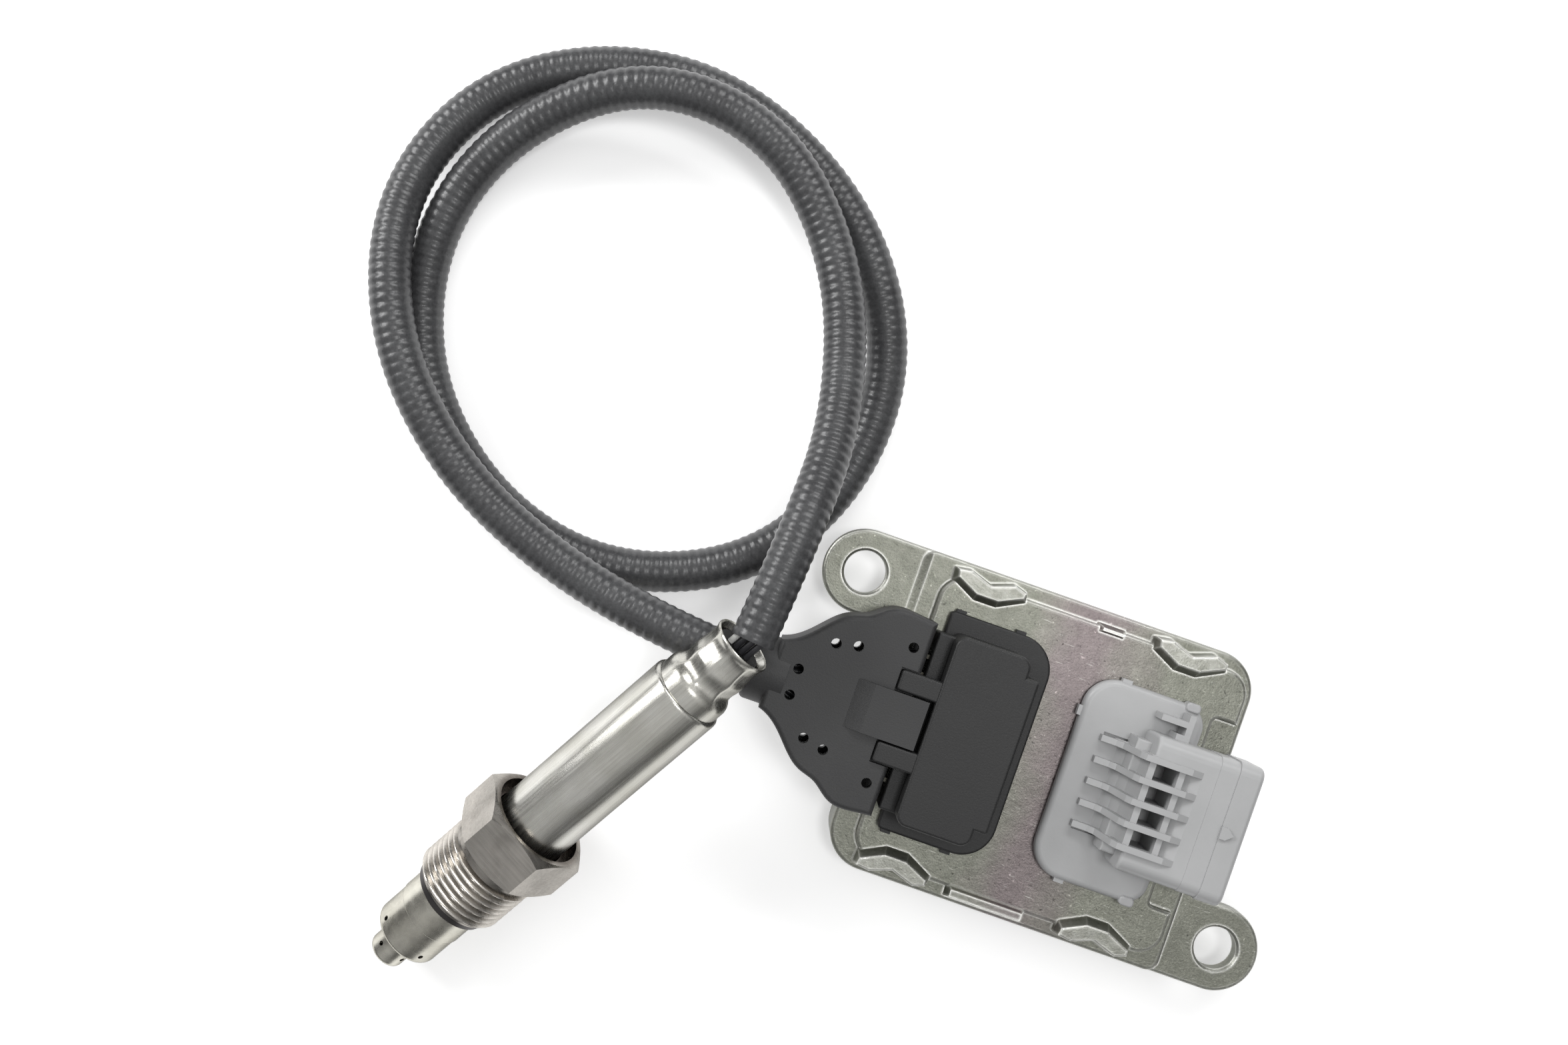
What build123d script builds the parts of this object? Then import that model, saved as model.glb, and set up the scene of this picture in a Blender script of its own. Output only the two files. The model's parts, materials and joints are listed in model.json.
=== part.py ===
from build123d import *
import math
import os

# Nitrogen oxide sensor for a diesel exhaust: a die cast control unit and a screw-in probe, joined by
# an armoured hose. Sizes are in millimetres. The unit lies on its back, with the origin at the middle
# of its back face, +X along its long side towards the plug connector, and +Z up.

# Housing casting
PLATE_L = 71.0
PLATE_W = 65.2
PLATE_R = 8.0
PLATE_EDGE_R = 0.8
FLANGE_Z = 11.0
PLATEAU_Z = 13.0
PLATEAU_INSETS = (5.1, 1.5, 3.1)
PLATEAU_R = 5.0
PLATEAU_EDGE_R = 0.8
NOTCH_INSET = 6.3
NOTCH_LOW_Y = -19.8
NOTCH_HIGH_Y = 19.5
NOTCH_R = 1.0
ROOF_T = 2.2
WALL_T = 4.5

# Mounting ears
EAR_R = 8.6
HOLE_OUT = 10.0
HOLE_D = 8.5
EAR_TOP_Z = 10.0
EAR_CORNER_R = 2.5
EAR_CORNER_L = PLATE_R + 2 * EAR_CORNER_R
EAR_STEP_L = 1.7
EAR_T = 3.5
EAR_ROOT_R = 4.0
EAR_EDGE_R = 0.7
HOLE_CHAMFER = 0.5

# Raised swage pads, whose Y is a share of the strip from the outlet header's edge to the plate's,
# and the block and bar on the flange, whose Y is measured from the plate's long edge
PAD_TOP_Z = 16.0
PAD_EDGE = 0.4
PAD_X = (-21.4, 20.5)
PAD_FOOT = (
    (-7.6, 0.84), (-4.6, 0.89), (0.0, 0.73), (4.6, 0.89), (7.4, 0.80), (7.7, 0.60), (2.3, 0.32),
    (-2.3, 0.32), (-7.4, 0.58),
)
PAD_TOP = (
    (-7.2, 0.81), (-4.5, 0.85), (-0.1, 0.69), (4.5, 0.85), (6.9, 0.77), (6.8, 0.66), (2.0, 0.44),
    (-2.4, 0.44), (-6.9, 0.66),
)
BLOCK_X = (1.2, 7.5)
BLOCK_Y = (-5.0, -2.4)
STUD_LEAN = 12.0
BLOCK_TOP_Z = 14.8
BAR_X = (-10.1, 6.6)
BAR_Y = (0.7, 4.1)
BAR_TOP_Z = 14.5
STUD_EDGE_R = 0.4

# Back cover and its seal
COVER_RIM = 2.0
COVER_T = 2.0
COVER_GAP = 0.15
COVER_PANEL_INSET = 7.0
COVER_PANEL_DEPTH = 0.4
SEAL_GAP = 0.1
SEAL_W = 1.4
SEAL_H = 1.0

# Circuit board
BOARD_Z = 5.5
BOARD_T = 1.6
BOARD_GAP = 0.6
BOSS_INSETS = (8.5, 8.6)
BOSS_R = 2.6
SCREW_R = 1.2
SCREW_HEAD_R = 2.2
SCREW_HEAD_H = 1.3
SCREW_DEPTH = 1.8
SCREW_GAP = 0.05
PART_GAP = 0.02
LEAD_PITCH = 1.27
LEAD_W = 0.5
LEAD_REACH = 1.0
LEAD_ROOT = 0.2
CASE_R = 0.3
CASE_LIFT = 0.1
CHIP_SIDE = 14.0
CHIP_H = 1.4
CHIP_X = 2.0
CHIP_Y = 2.0
DRIVER_L = 9.8
DRIVER_W = 7.4
DRIVER_H = 1.7
DRIVER_LEADS = 7
DRIVER_X = (-5.0, 10.0)
DRIVER_INSET = 15.1
SWITCH_X = 17.0
SWITCH_INSET = 14.6
SWITCH_L = 6.6
SWITCH_W = 6.1
SWITCH_H = 2.3
TAB_L = 5.2
TAB_W = 2.4
TAB_T = 0.7
SWITCH_LEG_W = 0.8
SWITCH_LEG_PITCH = 2.3
CAPACITOR_X = -21.5
CAPACITOR_INSET = 14.6
CAPACITOR_PITCH = 6.0
CAPACITOR_L = 7.3
CAPACITOR_W = 4.3
CAPACITOR_H = 2.8
CRYSTAL_X = -11.5
CRYSTAL_L = 5.0
CRYSTAL_W = 3.2
CRYSTAL_H = 1.2
CRYSTAL_R = 0.6

# Joint gasket and window under each connector
GASKET_T = 0.8
GASKET_INSET = 0.8
STEM_GAP = 0.2
STEM_ROOT = 0.5
WINDOW_R = 2.0

# Black outlet header
OUTLET_X = (-27.2, -4.8)
OUTLET_HALF_W = 22.6
OUTLET_TOP_Z = 15.5
OUTLET_R = 7.0
OUTLET_LEFT_R = 1.0
OUTLET_EDGE_R = 0.5
OUTLET_WINDOW_X = (-24.0, -9.0)
OUTLET_WINDOW_HALF_W = 17.5
HOOD_X = (-25.8, -10.9)
HOOD_HALF_W = 18.9
HOOD_TOP_Z = 27.0
HOOD_R = 2.2
HOOD_EDGE_R = 0.6
HOOD_STEP_X = -8.4
HOOD_STEP_HALF_W = 15.3
SHELF_X = -28.9
SHELF_HALF_W = 18.0
SHELF_TOP_Z = 21.5
SHELF_EDGE_R = 0.5
FINGER_X = -33.6
FINGER_Y = (5.1, 9.2)
FINGER_T = 2.2
FINGER_R = 0.6
FINGER_EDGE_R = 0.5
FINGER_ROOT = 2.0
NUB_W = 2.0
NUB_REACH = 0.6
NUB_DROP = 0.6
OUTLET_NUBS = ((-12.8, 22.6, 90), (-25.2, 22.6, 90), (-12.8, -22.6, -90), (-25.2, -22.6, -90))
OUTLET_PINS = 8
OUTLET_PITCH = 3.6
OUTLET_PIN_X = -16.0
OUTLET_PIN_END_X = -31.5
PIN_W = 0.8

# Cable boot
BOOT_AXIS_Z = 19.5
BOOT_T = 12.0
BOOT_EDGE_R = 1.0
BOOT_OUTLINE = (
    (-30.0, 19.4), (-34.3, 19.8), (-38.4, 19.5), (-40.4, 18.3), (-42.6, 16.7), (-46.0, 15.5),
    (-48.5, 13.8), (-51.0, 11.2), (-54.0, 8.4), (-57.1, 6.9),
)
BOOT_TIP_X = -61.6
NECK_R = 6.7
NECK_LIP_R = 1.1
NECK_START_X = -54.0
BOOT_WALL = 2.2
HOSE_SEAT_X = -54.5
VENT_D = 2.0
VENTS = ((-47.1, 9.5), (-42.9, 10.4), (-33.0, 13.6), (-52.3, 2.6))
TONGUE_X = (-40.9, -26.8)
TONGUE_RAMP_X = -37.5
TONGUE_HALF_W = 4.8
TONGUE_H = 1.3
POCKET_GAP = 0.3

# Grey plug connector
PLUG_X = (3.1, 27.1)
PLUG_HALF_W = 20.5
PLUG_TOP_Z = 16.0
PLUG_R = 6.5
PLUG_RIGHT_R = 4.5
PLUG_EDGE_R = 1.2
PLUG_NUBS = ((3.1, 12.4, 180), (10.0, 20.5, 90), (10.0, -20.5, -90))
LUG_X = (22.2, 25.2)
LUG_W = 1.9
LUG_REACH = 0.5
LUG_TOP_Z = 16.5
LUG_R = 0.8
LUG_EDGE_R = 0.4
PLUG_WINDOW_X = (6.0, 24.2)
PLUG_WINDOW_HALF_W = 16.0
SHELL_X = (16.6, 37.6)
SHELL_HALF_W = 13.45
SHELL_Z = (14.6, 27.0)
SHELL_WALL = 1.6
SHELL_R = 2.4
SHELL_BACK_R = 0.7
MOUTH_X = 25.0
MOUTH_EDGE_R = 1.0
BAND_X = 29.1
BAND_H = 0.12
COLLAR_X = 32.8
COLLAR_H = 0.4
ARROW_X = (32.7, 33.9)
ARROW_TIP_X = 35.3
ARROW_HALF_W = 1.2
ARROW_H = 0.5
GRID_X = 16.1
GRID_HALF_W = 9.6
WELL_X = (17.4, 22.0)
WELL_FLOOR_Z = 17.0
CROSS_WALL_X = 23.2
POCKET_DEPTH = 1.2
RIB_X = (8.2, 26.4)
RIB_CREST_X = (15.0, 24.2)
RIB_RAMP = ((11.2, 17.9), (12.4, 19.0), (13.3, 22.5), (14.1, 26.3))
RIB_LOW_Z = 17.7
RIB_H = 0.8
RIB_W = 1.2
RIB_PITCH = 4.4
RIBS = 5
VALLEY = (
    (11.2, 15.5), (12.4, 16.2), (13.8, 17.6), (15.0, 20.5), (15.7, 24.0), (16.2, 26.8),
    (16.7, 15.5),
)
CHEEK_X = (13.7, 17.2)
CHEEK_HALF_W = 11.4
CHEEK_TOP_Z = 22.5
CHEEK_EDGE_R = 0.4
GROOVE_X = (8.7, 13.7)
GROOVE_W = 0.6
GROOVE_DEPTH = 0.8
HOOK_WALLS = (
    ((17.7, 16.7), (22.6, 16.7)), ((22.9, 18.1), (22.9, 14.0)), ((22.9, 14.0), (21.4, 14.0)),
)
HOOK_W = 1.2
HOOK_TOP_Z = 21.0
PLUG_PIN_X = 22.6
PLUG_PIN_END_X = 34.0
PLUG_PIN_W = 1.5
PIN_HOLE_GAP = 0.05
PIN_TAIL = 0.5

# Hose: its guide points are measured along the lying hose
HOSE_D = 8.5
HOSE_GAP = 0.1
HOSE_POINTS = [
    (-55.0, 0.0, 19.5), (-72.0, 0.0, 19.5), (-104.0, 5.0, 14.5), (-131.0, 17.0, 13.5),
    (-151.0, 38.0, 13.7), (-160.5, 65.0, 8.0), (-153.5, 92.0, 4.3), (-131.0, 110.0, 4.3),
    (-101.0, 112.0, 4.3), (-70.5, 95.0, 4.3), (-54.0, 69.0, 4.3), (-51.5, 40.5, 4.3),
    (-66.5, 16.0, 4.3), (-94.0, 4.5, 4.3), (-122.0, 11.5, 4.3), (-144.0, 31.0, 4.3),
    (-152.0, 59.0, 4.3), (-143.0, 86.0, 5.5), (-119.0, 103.5, 11.0), (-90.0, 102.0, 13.0),
    (-67.5, 81.0, 13.0), (-58.8, 52.0, 20.5), (-60.4, 26.0, 33.2), (-62.4, 5.3, 34.0),
]
RUN_SHARE = 0.45

# Probe: stations are measured along its axis from the tip, and "back" from its rear end
REAR_XY = (-63.682, 4.119)
PROBE_L = 101.5
PROBE_TURN = 60.6
REST_GAP = 0.3
FLANK_SHARE = 0.95
NOSE_D = 7.8
NOSE_WALL = 0.5
NOSE_EDGE_R = 1.0
NOSE_END = 21.5
SHIELD_D = 15.0
SHIELD_STEP = 0.2
SHIELD_START = 6.7
SHIELD_SEAM = 14.4
SHIELD_END = 20.5
SHIELD_WALL = 0.6
SHIELD_EDGE_R = 0.9
GAS_HOLE_D = 1.0
GAS_HOLES = 4
NOSE_HOLE_AT = 3.0
SHIELD_HOLE_AT = 9.0
RING_D = 17.0
RING_END = 22.1
RING_BEVEL = 0.3
SPIGOT_START = 16.0
BODY_D = 15.8
BODY_STEP = 34.0
BODY_BORE_D = 10.0
NUT_GAP = 0.3
THREAD_D = 20.0
THREAD_END = 33.0
THREAD_CHAMFER = 1.0
RELIEF_D = 18.2
HEX_START = 35.8
HEX_END = 45.9
HEX_FLATS = 22.0
HEX_BEVEL = 1.2
HEX_LAND = 0.2
NUT_OVERLAP = 0.5
NUT_RECESS_D = 19.6
NUT_RECESS_T = 2.6
SLEEVE_D = 16.0
SLEEVE_WALL = 0.8
SLEEVE_BACK = 14.4
SLEEVE_EDGE = 0.8
COLLAR_D = 14.6
COLLAR_BACK = 11.9
CRIMP_D = 12.3
CRIMP_OUTLINE = (
    (7.1, 11.2), (6.2, 10.4), (5.5, 9.6), (5.5, 8.2), (6.1, 6.5), (6.1, 5.7), (5.7, 4.3),
    (5.7, 2.0),
)
CRIMP_LIP = 0.8
CRIMP_BORE_D = 9.3
CRIMP_FLATS = 8
CRIMP_FLAT_BACK = 8.4
CRIMP_FLAT_L = 6.6
CRIMP_FLAT_R = 5.5
FIT_GAP = 0.05
ELEMENT_W = 4.6
ELEMENT_T = 1.5
ELEMENT_START = 3.2
ELEMENT_GRIP = 11.0
STACK_START = 24.0
FRONT_INSULATOR_L = 7.0
TALC_L = 5.88
REAR_INSULATOR_L = 15.12
BODY_TAIL_L = 8.0
HOLDER_GAP = 1.0
HOLDER_L = 17.0
HOLDER_TAIL_L = 9.1
HOLDER_SLOT_H = 2.6
CONTACT_W = 0.5
CONTACT_T = 0.3
CONTACT_INSET = 1.0
WIRE_D = 1.2
WIRE_PITCH = 1.4
WIRE_ROW = 0.9
WIRES_PER_ROW = 4
GROMMET_BACKS = (9.4, 1.2)

# Sizes that follow from the driving ones
HALF_L = PLATE_L / 2
HALF_W = PLATE_W / 2
PLATEAU_LEFT = PLATEAU_INSETS[0] - HALF_L
PLATEAU_RIGHT = HALF_L - PLATEAU_INSETS[1]
PLATEAU_HALF_W = HALF_W - PLATEAU_INSETS[2]
NOTCH_X = HALF_L - NOTCH_INSET
HOLE_X = HALF_L + HOLE_OUT
HOLE_Y = HALF_W - EAR_R
BOSS_X = HALF_L - BOSS_INSETS[0]
BOSS_Y = HALF_W - BOSS_INSETS[1]
DRIVER_Y = DRIVER_INSET - HALF_W
SWITCH_Y = HALF_W - SWITCH_INSET
CAPACITOR_Y = HALF_W - CAPACITOR_INSET
EAR_BOTTOM_Z = EAR_TOP_Z - EAR_T
BOARD_TOP_Z = BOARD_Z + BOARD_T
POCKET_TOP_Z = FLANGE_Z - ROOF_T
ROOF_Z = PLATEAU_Z - ROOF_T
SEAT_Z = PLATEAU_Z + GASKET_T
BOOT_TOP_Z = BOOT_AXIS_Z + BOOT_T / 2
BOOT_BOTTOM_Z = BOOT_AXIS_Z - BOOT_T / 2
SHELL_AXIS_Z = (SHELL_Z[0] + SHELL_Z[1]) / 2
SLEEVE_BORE_D = SLEEVE_D - 2 * SLEEVE_WALL
SLEEVE_END = PROBE_L - SLEEVE_BACK
COLLAR_END = PROBE_L - COLLAR_BACK
CRIMP_FLAT_AT = PROBE_L - CRIMP_FLAT_BACK
GROMMET_SPAN = (PROBE_L - GROMMET_BACKS[0], PROBE_L - GROMMET_BACKS[1])


def block(x, y, z, r=0.0):
    """Upright block over the spans x, y and z, with its upright edges rounded by r."""
    length, width = x[1] - x[0], y[1] - y[0]
    outline = RectangleRounded(length, width, r) if r else Rectangle(length, width)
    middle = Pos((x[0] + x[1]) / 2, (y[0] + y[1]) / 2, z[0])
    return middle * extrude(outline, z[1] - z[0])


def round_top(part, r):
    """The part with the rim of its highest face rounded."""
    rim = part.faces().sort_by(Axis.Z)[-1].outer_wire().edges()
    return fillet(rim, r)


def upright_slab(points, y, width):
    """Slab of the given width about y, whose side view has the given (x, z) corners."""
    side_view = Plane(origin=(0, y, 0), x_dir=(1, 0, 0), z_dir=(0, -1, 0))
    return side_view.location * extrude(Polygon(*points, align=None), width / 2, both=True)


def plate_outline(inset=0.0):
    """Rounded outline of the housing, drawn in by inset."""
    return RectangleRounded(PLATE_L - 2 * inset, PLATE_W - 2 * inset, PLATE_R - inset)


def ear_layer():
    """Cast layer that carries both ears, with a hollow round where each ear meets the plate."""
    outline = plate_outline()
    root_x = PLATE_L / 2 - PLATE_R - 1
    for side in (-1, 1):
        outline += Pos(side * HOLE_X, -side * HOLE_Y) * Circle(EAR_R)
        middle_x = side * (HOLE_X + root_x) / 2
        outline += Pos(middle_x, -side * HOLE_Y) * Rectangle(HOLE_X - root_x, 2 * EAR_R)
    inner_y = HOLE_Y - EAR_R
    corners = [
        v for v in outline.vertices()
        if abs(abs(v.X) - PLATE_L / 2) < 0.01 and abs(abs(v.Y) - inner_y) < 0.01
    ]
    outline = fillet(corners, EAR_ROOT_R)
    layer = Pos(0, 0, EAR_BOTTOM_Z) * extrude(outline, EAR_T)
    return round_top(layer, EAR_EDGE_R)


def ear_corner():
    """Tight corner of the flange beside the left ear, over the plate's round one."""
    x = (-PLATE_L / 2, -PLATE_L / 2 + EAR_CORNER_L)
    y = (PLATE_W / 2 - EAR_CORNER_L, PLATE_W / 2)
    return block(x, y, (EAR_BOTTOM_Z, FLANGE_Z), EAR_CORNER_R)


def ear_step():
    """Wedge of air over the slope from the left ear up to the flange."""
    left = -PLATE_L / 2
    slope = [
        (left - 1, EAR_TOP_Z), (left, EAR_TOP_Z), (left + EAR_STEP_L, FLANGE_Z),
        (left + EAR_STEP_L, FLANGE_Z + 1), (left - 1, FLANGE_Z + 1),
    ]
    return upright_slab(slope, HOLE_Y, 2 * EAR_R + 1)


def plateau():
    """Raised middle of the housing, with a notch along its right side."""
    x = (PLATEAU_LEFT, PLATEAU_RIGHT)
    y = (-PLATEAU_HALF_W, PLATEAU_HALF_W)
    z = (ROOF_Z - ROOF_T, PLATEAU_Z)
    notch_x = (NOTCH_X, PLATEAU_RIGHT + PLATEAU_R)
    notch = block(notch_x, (NOTCH_LOW_Y, NOTCH_HIGH_Y), (z[0], z[1] + 1), NOTCH_R)
    return round_top(block(x, y, z, PLATEAU_R) - notch, PLATEAU_EDGE_R)


def swage_pad(centre_x, side):
    """One winged pad beside the long edge on the given side, with a sloped inner flank."""
    strip = HALF_W - OUTLET_HALF_W
    sections = []
    for outline, z in ((PAD_FOOT, POCKET_TOP_Z), (PAD_FOOT, PLATEAU_Z), (PAD_TOP, PAD_TOP_Z)):
        points = [(x, OUTLET_HALF_W + share * strip) for x, share in outline]
        sections.append(Pos(centre_x, 0, z) * Polygon(*points, align=None))
    pad = round_top(loft(sections, ruled=True), PAD_EDGE)
    return pad if side > 0 else mirror(pad, about=Plane.XZ)


def stud(x, y, edge_y, top_z):
    """Low cast stud with leaning sides, placed from the long edge at edge_y."""
    foot = RectangleRounded(x[1] - x[0], y[1] - y[0], STUD_EDGE_R)
    height = top_z - FLANGE_Z + 1
    middle = Pos((x[0] + x[1]) / 2, edge_y + (y[0] + y[1]) / 2, FLANGE_Z - 1)
    return middle * extrude(foot, height, taper=STUD_LEAN)


def front_housing():
    """Casting: tub, ears, plateau, pads, cover seat, board bosses and connector windows."""
    body = extrude(plate_outline(), FLANGE_Z) + ear_corner() + Rot(0, 0, 180) * ear_corner()
    body = round_top(body, PLATE_EDGE_R) + ear_layer() - ear_step()
    body -= extrude(plate_outline(WALL_T), POCKET_TOP_Z)
    body += plateau()
    for centre_x in PAD_X:
        for side in (-1, 1):
            body += swage_pad(centre_x, side)
    body += stud(BLOCK_X, BLOCK_Y, HALF_W, BLOCK_TOP_Z)
    body += stud(BAR_X, BAR_Y, -HALF_W, BAR_TOP_Z)
    inner_x = (PLATEAU_LEFT + ROOF_T, NOTCH_X - ROOF_T)
    inner_y = (-PLATEAU_HALF_W + WALL_T, PLATEAU_HALF_W - WALL_T)
    body -= block(inner_x, inner_y, (0, ROOF_Z), PLATEAU_R - ROOF_T)
    body -= extrude(plate_outline(COVER_RIM), COVER_T)
    body -= Pos(0, 0, COVER_T) * seal_ring_shape(SEAL_GAP, SEAL_H)
    for spot in boss_spots():
        boss = spot * Pos(0, 0, BOARD_TOP_Z) * extrude(Circle(BOSS_R), ROOF_Z + 1 - BOARD_TOP_Z)
        drill = spot * Pos(0, 0, BOARD_TOP_Z) * extrude(Circle(SCREW_R + SCREW_GAP), SCREW_DEPTH)
        body = body + boss - drill
    for x, half_w in windows():
        body -= block(x, (-half_w, half_w), (BOARD_TOP_Z, PLATEAU_Z + 1), WINDOW_R)
    for side in (-1, 1):
        ear_hole = Pos(side * HOLE_X, -side * HOLE_Y, 0)
        body -= ear_hole * extrude(Circle(HOLE_D / 2), FLANGE_Z)
        flare = Pos(0, 0, EAR_TOP_Z - HOLE_CHAMFER / 2)
        body -= ear_hole * flare * Cone(HOLE_D / 2, HOLE_D / 2 + HOLE_CHAMFER, HOLE_CHAMFER)
    return body


def windows():
    """Span along X and half width of the opening under each connector."""
    return ((OUTLET_WINDOW_X, OUTLET_WINDOW_HALF_W), (PLUG_WINDOW_X, PLUG_WINDOW_HALF_W))


def boss_spots():
    """Places of the four board bosses."""
    return [Pos(x, y, 0) for x in (-BOSS_X, BOSS_X) for y in (-BOSS_Y, BOSS_Y)]


def seal_ring_shape(gap, height):
    """Ring that lies on the cover ledge, grown on both sides by gap."""
    middle = (COVER_RIM + WALL_T) / 2
    outer = plate_outline(middle - SEAL_W / 2 - gap)
    inner = plate_outline(middle + SEAL_W / 2 + gap)
    return extrude(outer - inner, height)


def back_cover():
    """Flat cover pressed into the back, with a shallow stamped panel."""
    cover = extrude(plate_outline(COVER_RIM + COVER_GAP), COVER_T)
    panel = extrude(plate_outline(COVER_PANEL_INSET), COVER_PANEL_DEPTH)
    return cover - Pos(0, 0, COVER_T - COVER_PANEL_DEPTH) * panel


def cover_seal():
    """Rubber bead in the groove above the cover."""
    return Pos(0, 0, COVER_T) * seal_ring_shape(0, SEAL_H - SEAL_GAP)


def circuit_board():
    """Board that hangs under the bosses, with holes for screws and pins."""
    inset = WALL_T + BOARD_GAP
    board = Pos(0, 0, BOARD_Z) * extrude(plate_outline(inset), BOARD_T)
    for spot in boss_spots():
        board -= spot * Pos(0, 0, BOARD_Z) * extrude(Circle(SCREW_R + SCREW_GAP), BOARD_T)
    for x, y, width in pin_legs():
        board -= pin_leg(x, y, width, BOARD_Z, BOARD_TOP_Z, 2 * PIN_HOLE_GAP)
    return board


def board_screws():
    """Four short screws that hold the board to its bosses."""
    screws = []
    for spot in boss_spots():
        shank = Pos(0, 0, BOARD_Z) * extrude(Circle(SCREW_R), BOARD_T + SCREW_DEPTH - SCREW_GAP)
        head = Pos(0, 0, BOARD_Z - SCREW_HEAD_H) * extrude(Circle(SCREW_HEAD_R), SCREW_HEAD_H)
        screws.append(spot * (shank + head))
    return Compound(children=screws)


def flat_package(length, width, height, leads):
    """Chip body under the board, with leads along both long sides; its top is at z = 0."""
    package = Pos(0, 0, -height) * extrude(RectangleRounded(length, width, CASE_R), height - CASE_LIFT)
    for side in (-1, 1):
        for i in range(leads):
            x = (i - (leads - 1) / 2) * LEAD_PITCH
            y = side * (width + LEAD_REACH) / 2
            package += Pos(x, y, -height / 4) * Box(LEAD_W, LEAD_REACH + LEAD_ROOT, height / 2)
    return package


def processor_chip():
    """Large square chip with leads on four sides."""
    case = RectangleRounded(CHIP_SIDE, CHIP_SIDE, CASE_R)
    chip = Pos(0, 0, -CHIP_H) * extrude(case, CHIP_H - CASE_LIFT)
    count = int(CHIP_SIDE / LEAD_PITCH) - 1
    for turn in range(4):
        for i in range(count):
            x = (i - (count - 1) / 2) * LEAD_PITCH
            foot = Pos(x, (CHIP_SIDE + LEAD_REACH) / 2, -CHIP_H / 4)
            chip += Rot(0, 0, 90 * turn) * foot * Box(LEAD_W, LEAD_REACH + LEAD_ROOT, CHIP_H / 2)
    return Pos(CHIP_X, CHIP_Y, BOARD_Z - PART_GAP) * chip


def driver_chips():
    """Two driver chips beside the processor."""
    chips = []
    for x in DRIVER_X:
        chip = flat_package(DRIVER_L, DRIVER_W, DRIVER_H, DRIVER_LEADS)
        chips.append(Pos(x, DRIVER_Y, BOARD_Z - PART_GAP) * chip)
    return Compound(children=chips)


def power_transistor():
    """Heater switch with its metal tab."""
    outline = RectangleRounded(SWITCH_L, SWITCH_W, CASE_R)
    switch = Pos(0, 0, -SWITCH_H) * extrude(outline, SWITCH_H - CASE_LIFT)
    reach = (SWITCH_W + TAB_W) / 2 - LEAD_ROOT
    switch += Pos(0, reach, -TAB_T / 2) * Box(TAB_L, TAB_W, TAB_T)
    for i in (-1, 0, 1):
        switch += Pos(i * SWITCH_LEG_PITCH, -reach, -TAB_T / 2) * Box(SWITCH_LEG_W, TAB_W, TAB_T)
    return Pos(SWITCH_X, SWITCH_Y, BOARD_Z - PART_GAP) * switch


def supply_capacitors():
    """Three block capacitors on the supply side."""
    blocks = []
    for i in range(3):
        case = extrude(RectangleRounded(CAPACITOR_L, CAPACITOR_W, CASE_R), CAPACITOR_H)
        y = CAPACITOR_Y - CAPACITOR_PITCH * i
        blocks.append(Pos(CAPACITOR_X, y, BOARD_Z - PART_GAP - CAPACITOR_H) * case)
    return Compound(children=blocks)


def clock_crystal():
    """Metal can crystal."""
    can = extrude(RectangleRounded(CRYSTAL_L, CRYSTAL_W, CRYSTAL_R), CRYSTAL_H)
    return Pos(CRYSTAL_X, CHIP_Y, BOARD_Z - PART_GAP - CRYSTAL_H) * can


def gasket(x, half_w, r, window_x, window_half_w):
    """Flat rubber gasket between a connector's flange and the plateau."""
    outer_x = (x[0] + GASKET_INSET, x[1] - GASKET_INSET)
    outer_y = (-half_w + GASKET_INSET, half_w - GASKET_INSET)
    ring = block(outer_x, outer_y, (PLATEAU_Z, SEAT_Z), r - GASKET_INSET)
    hole = block(window_x, (-window_half_w, window_half_w), (PLATEAU_Z - 1, SEAT_Z + 1), WINDOW_R)
    return ring - hole


def stem(window_x, half_w):
    """Lower part of a connector, which fills its window down to just above the board."""
    x = (window_x[0] + STEM_GAP, window_x[1] - STEM_GAP)
    y = (-half_w + STEM_GAP, half_w - STEM_GAP)
    return block(x, y, (BOARD_TOP_Z + STEM_GAP, SEAT_Z + STEM_ROOT), WINDOW_R)


def pin_leg(x, y, width, z0, z1, grow=0.0):
    """Upright leg of a pin, grown all round by grow."""
    half = PIN_W / 2 + grow
    half_w = width / 2 + grow
    return block((x - half, x + half), (y - half_w, y + half_w), (z0, z1))


def outlet_pin_ys():
    """Places of the outlet pins along Y."""
    return [(i - (OUTLET_PINS - 1) / 2) * OUTLET_PITCH for i in range(OUTLET_PINS)]


def plug_pin_ys():
    """Places of the plug pins along Y, one between each two ribs."""
    return [(i - (RIBS - 2) / 2) * RIB_PITCH for i in range(RIBS - 1)]


def pin_legs():
    """Place and width of every pin that passes through the board."""
    legs = [(OUTLET_PIN_X, y, PIN_W) for y in outlet_pin_ys()]
    return legs + [(PLUG_PIN_X, y, PLUG_PIN_W) for y in plug_pin_ys()]


def bent_pin(x, y, width, end_x, z, grow=0.0):
    """Pin that rises through the board and bends level towards end_x."""
    half = PIN_W / 2 + grow
    leg = pin_leg(x, y, width, BOARD_Z - PIN_TAIL, z + half, grow)
    reach = (min(x - half, end_x), max(x + half, end_x))
    return leg + block(reach, (y - width / 2 - grow, y + width / 2 + grow), (z - half, z + half))


def outlet_pins():
    """Pins from the board to the wires in the boot."""
    pins = [
        bent_pin(OUTLET_PIN_X, y, PIN_W, OUTLET_PIN_END_X, BOOT_AXIS_Z)
        for y in outlet_pin_ys()
    ]
    return Compound(children=pins)


def plug_pins():
    """Flat pins in the plug connector's mouth."""
    pins = [
        bent_pin(PLUG_PIN_X, y, PLUG_PIN_W, PLUG_PIN_END_X, SHELL_AXIS_Z)
        for y in plug_pin_ys()
    ]
    return Compound(children=pins)


def edge_nub(x, y, turn, top_z):
    """Small nub on a flange's edge, pointing along turn degrees."""
    lug = extrude(Rectangle(2 * NUB_REACH, NUB_W), top_z - SEAT_Z)
    return Pos(x, y, SEAT_Z) * Rot(0, 0, turn) * lug


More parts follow.
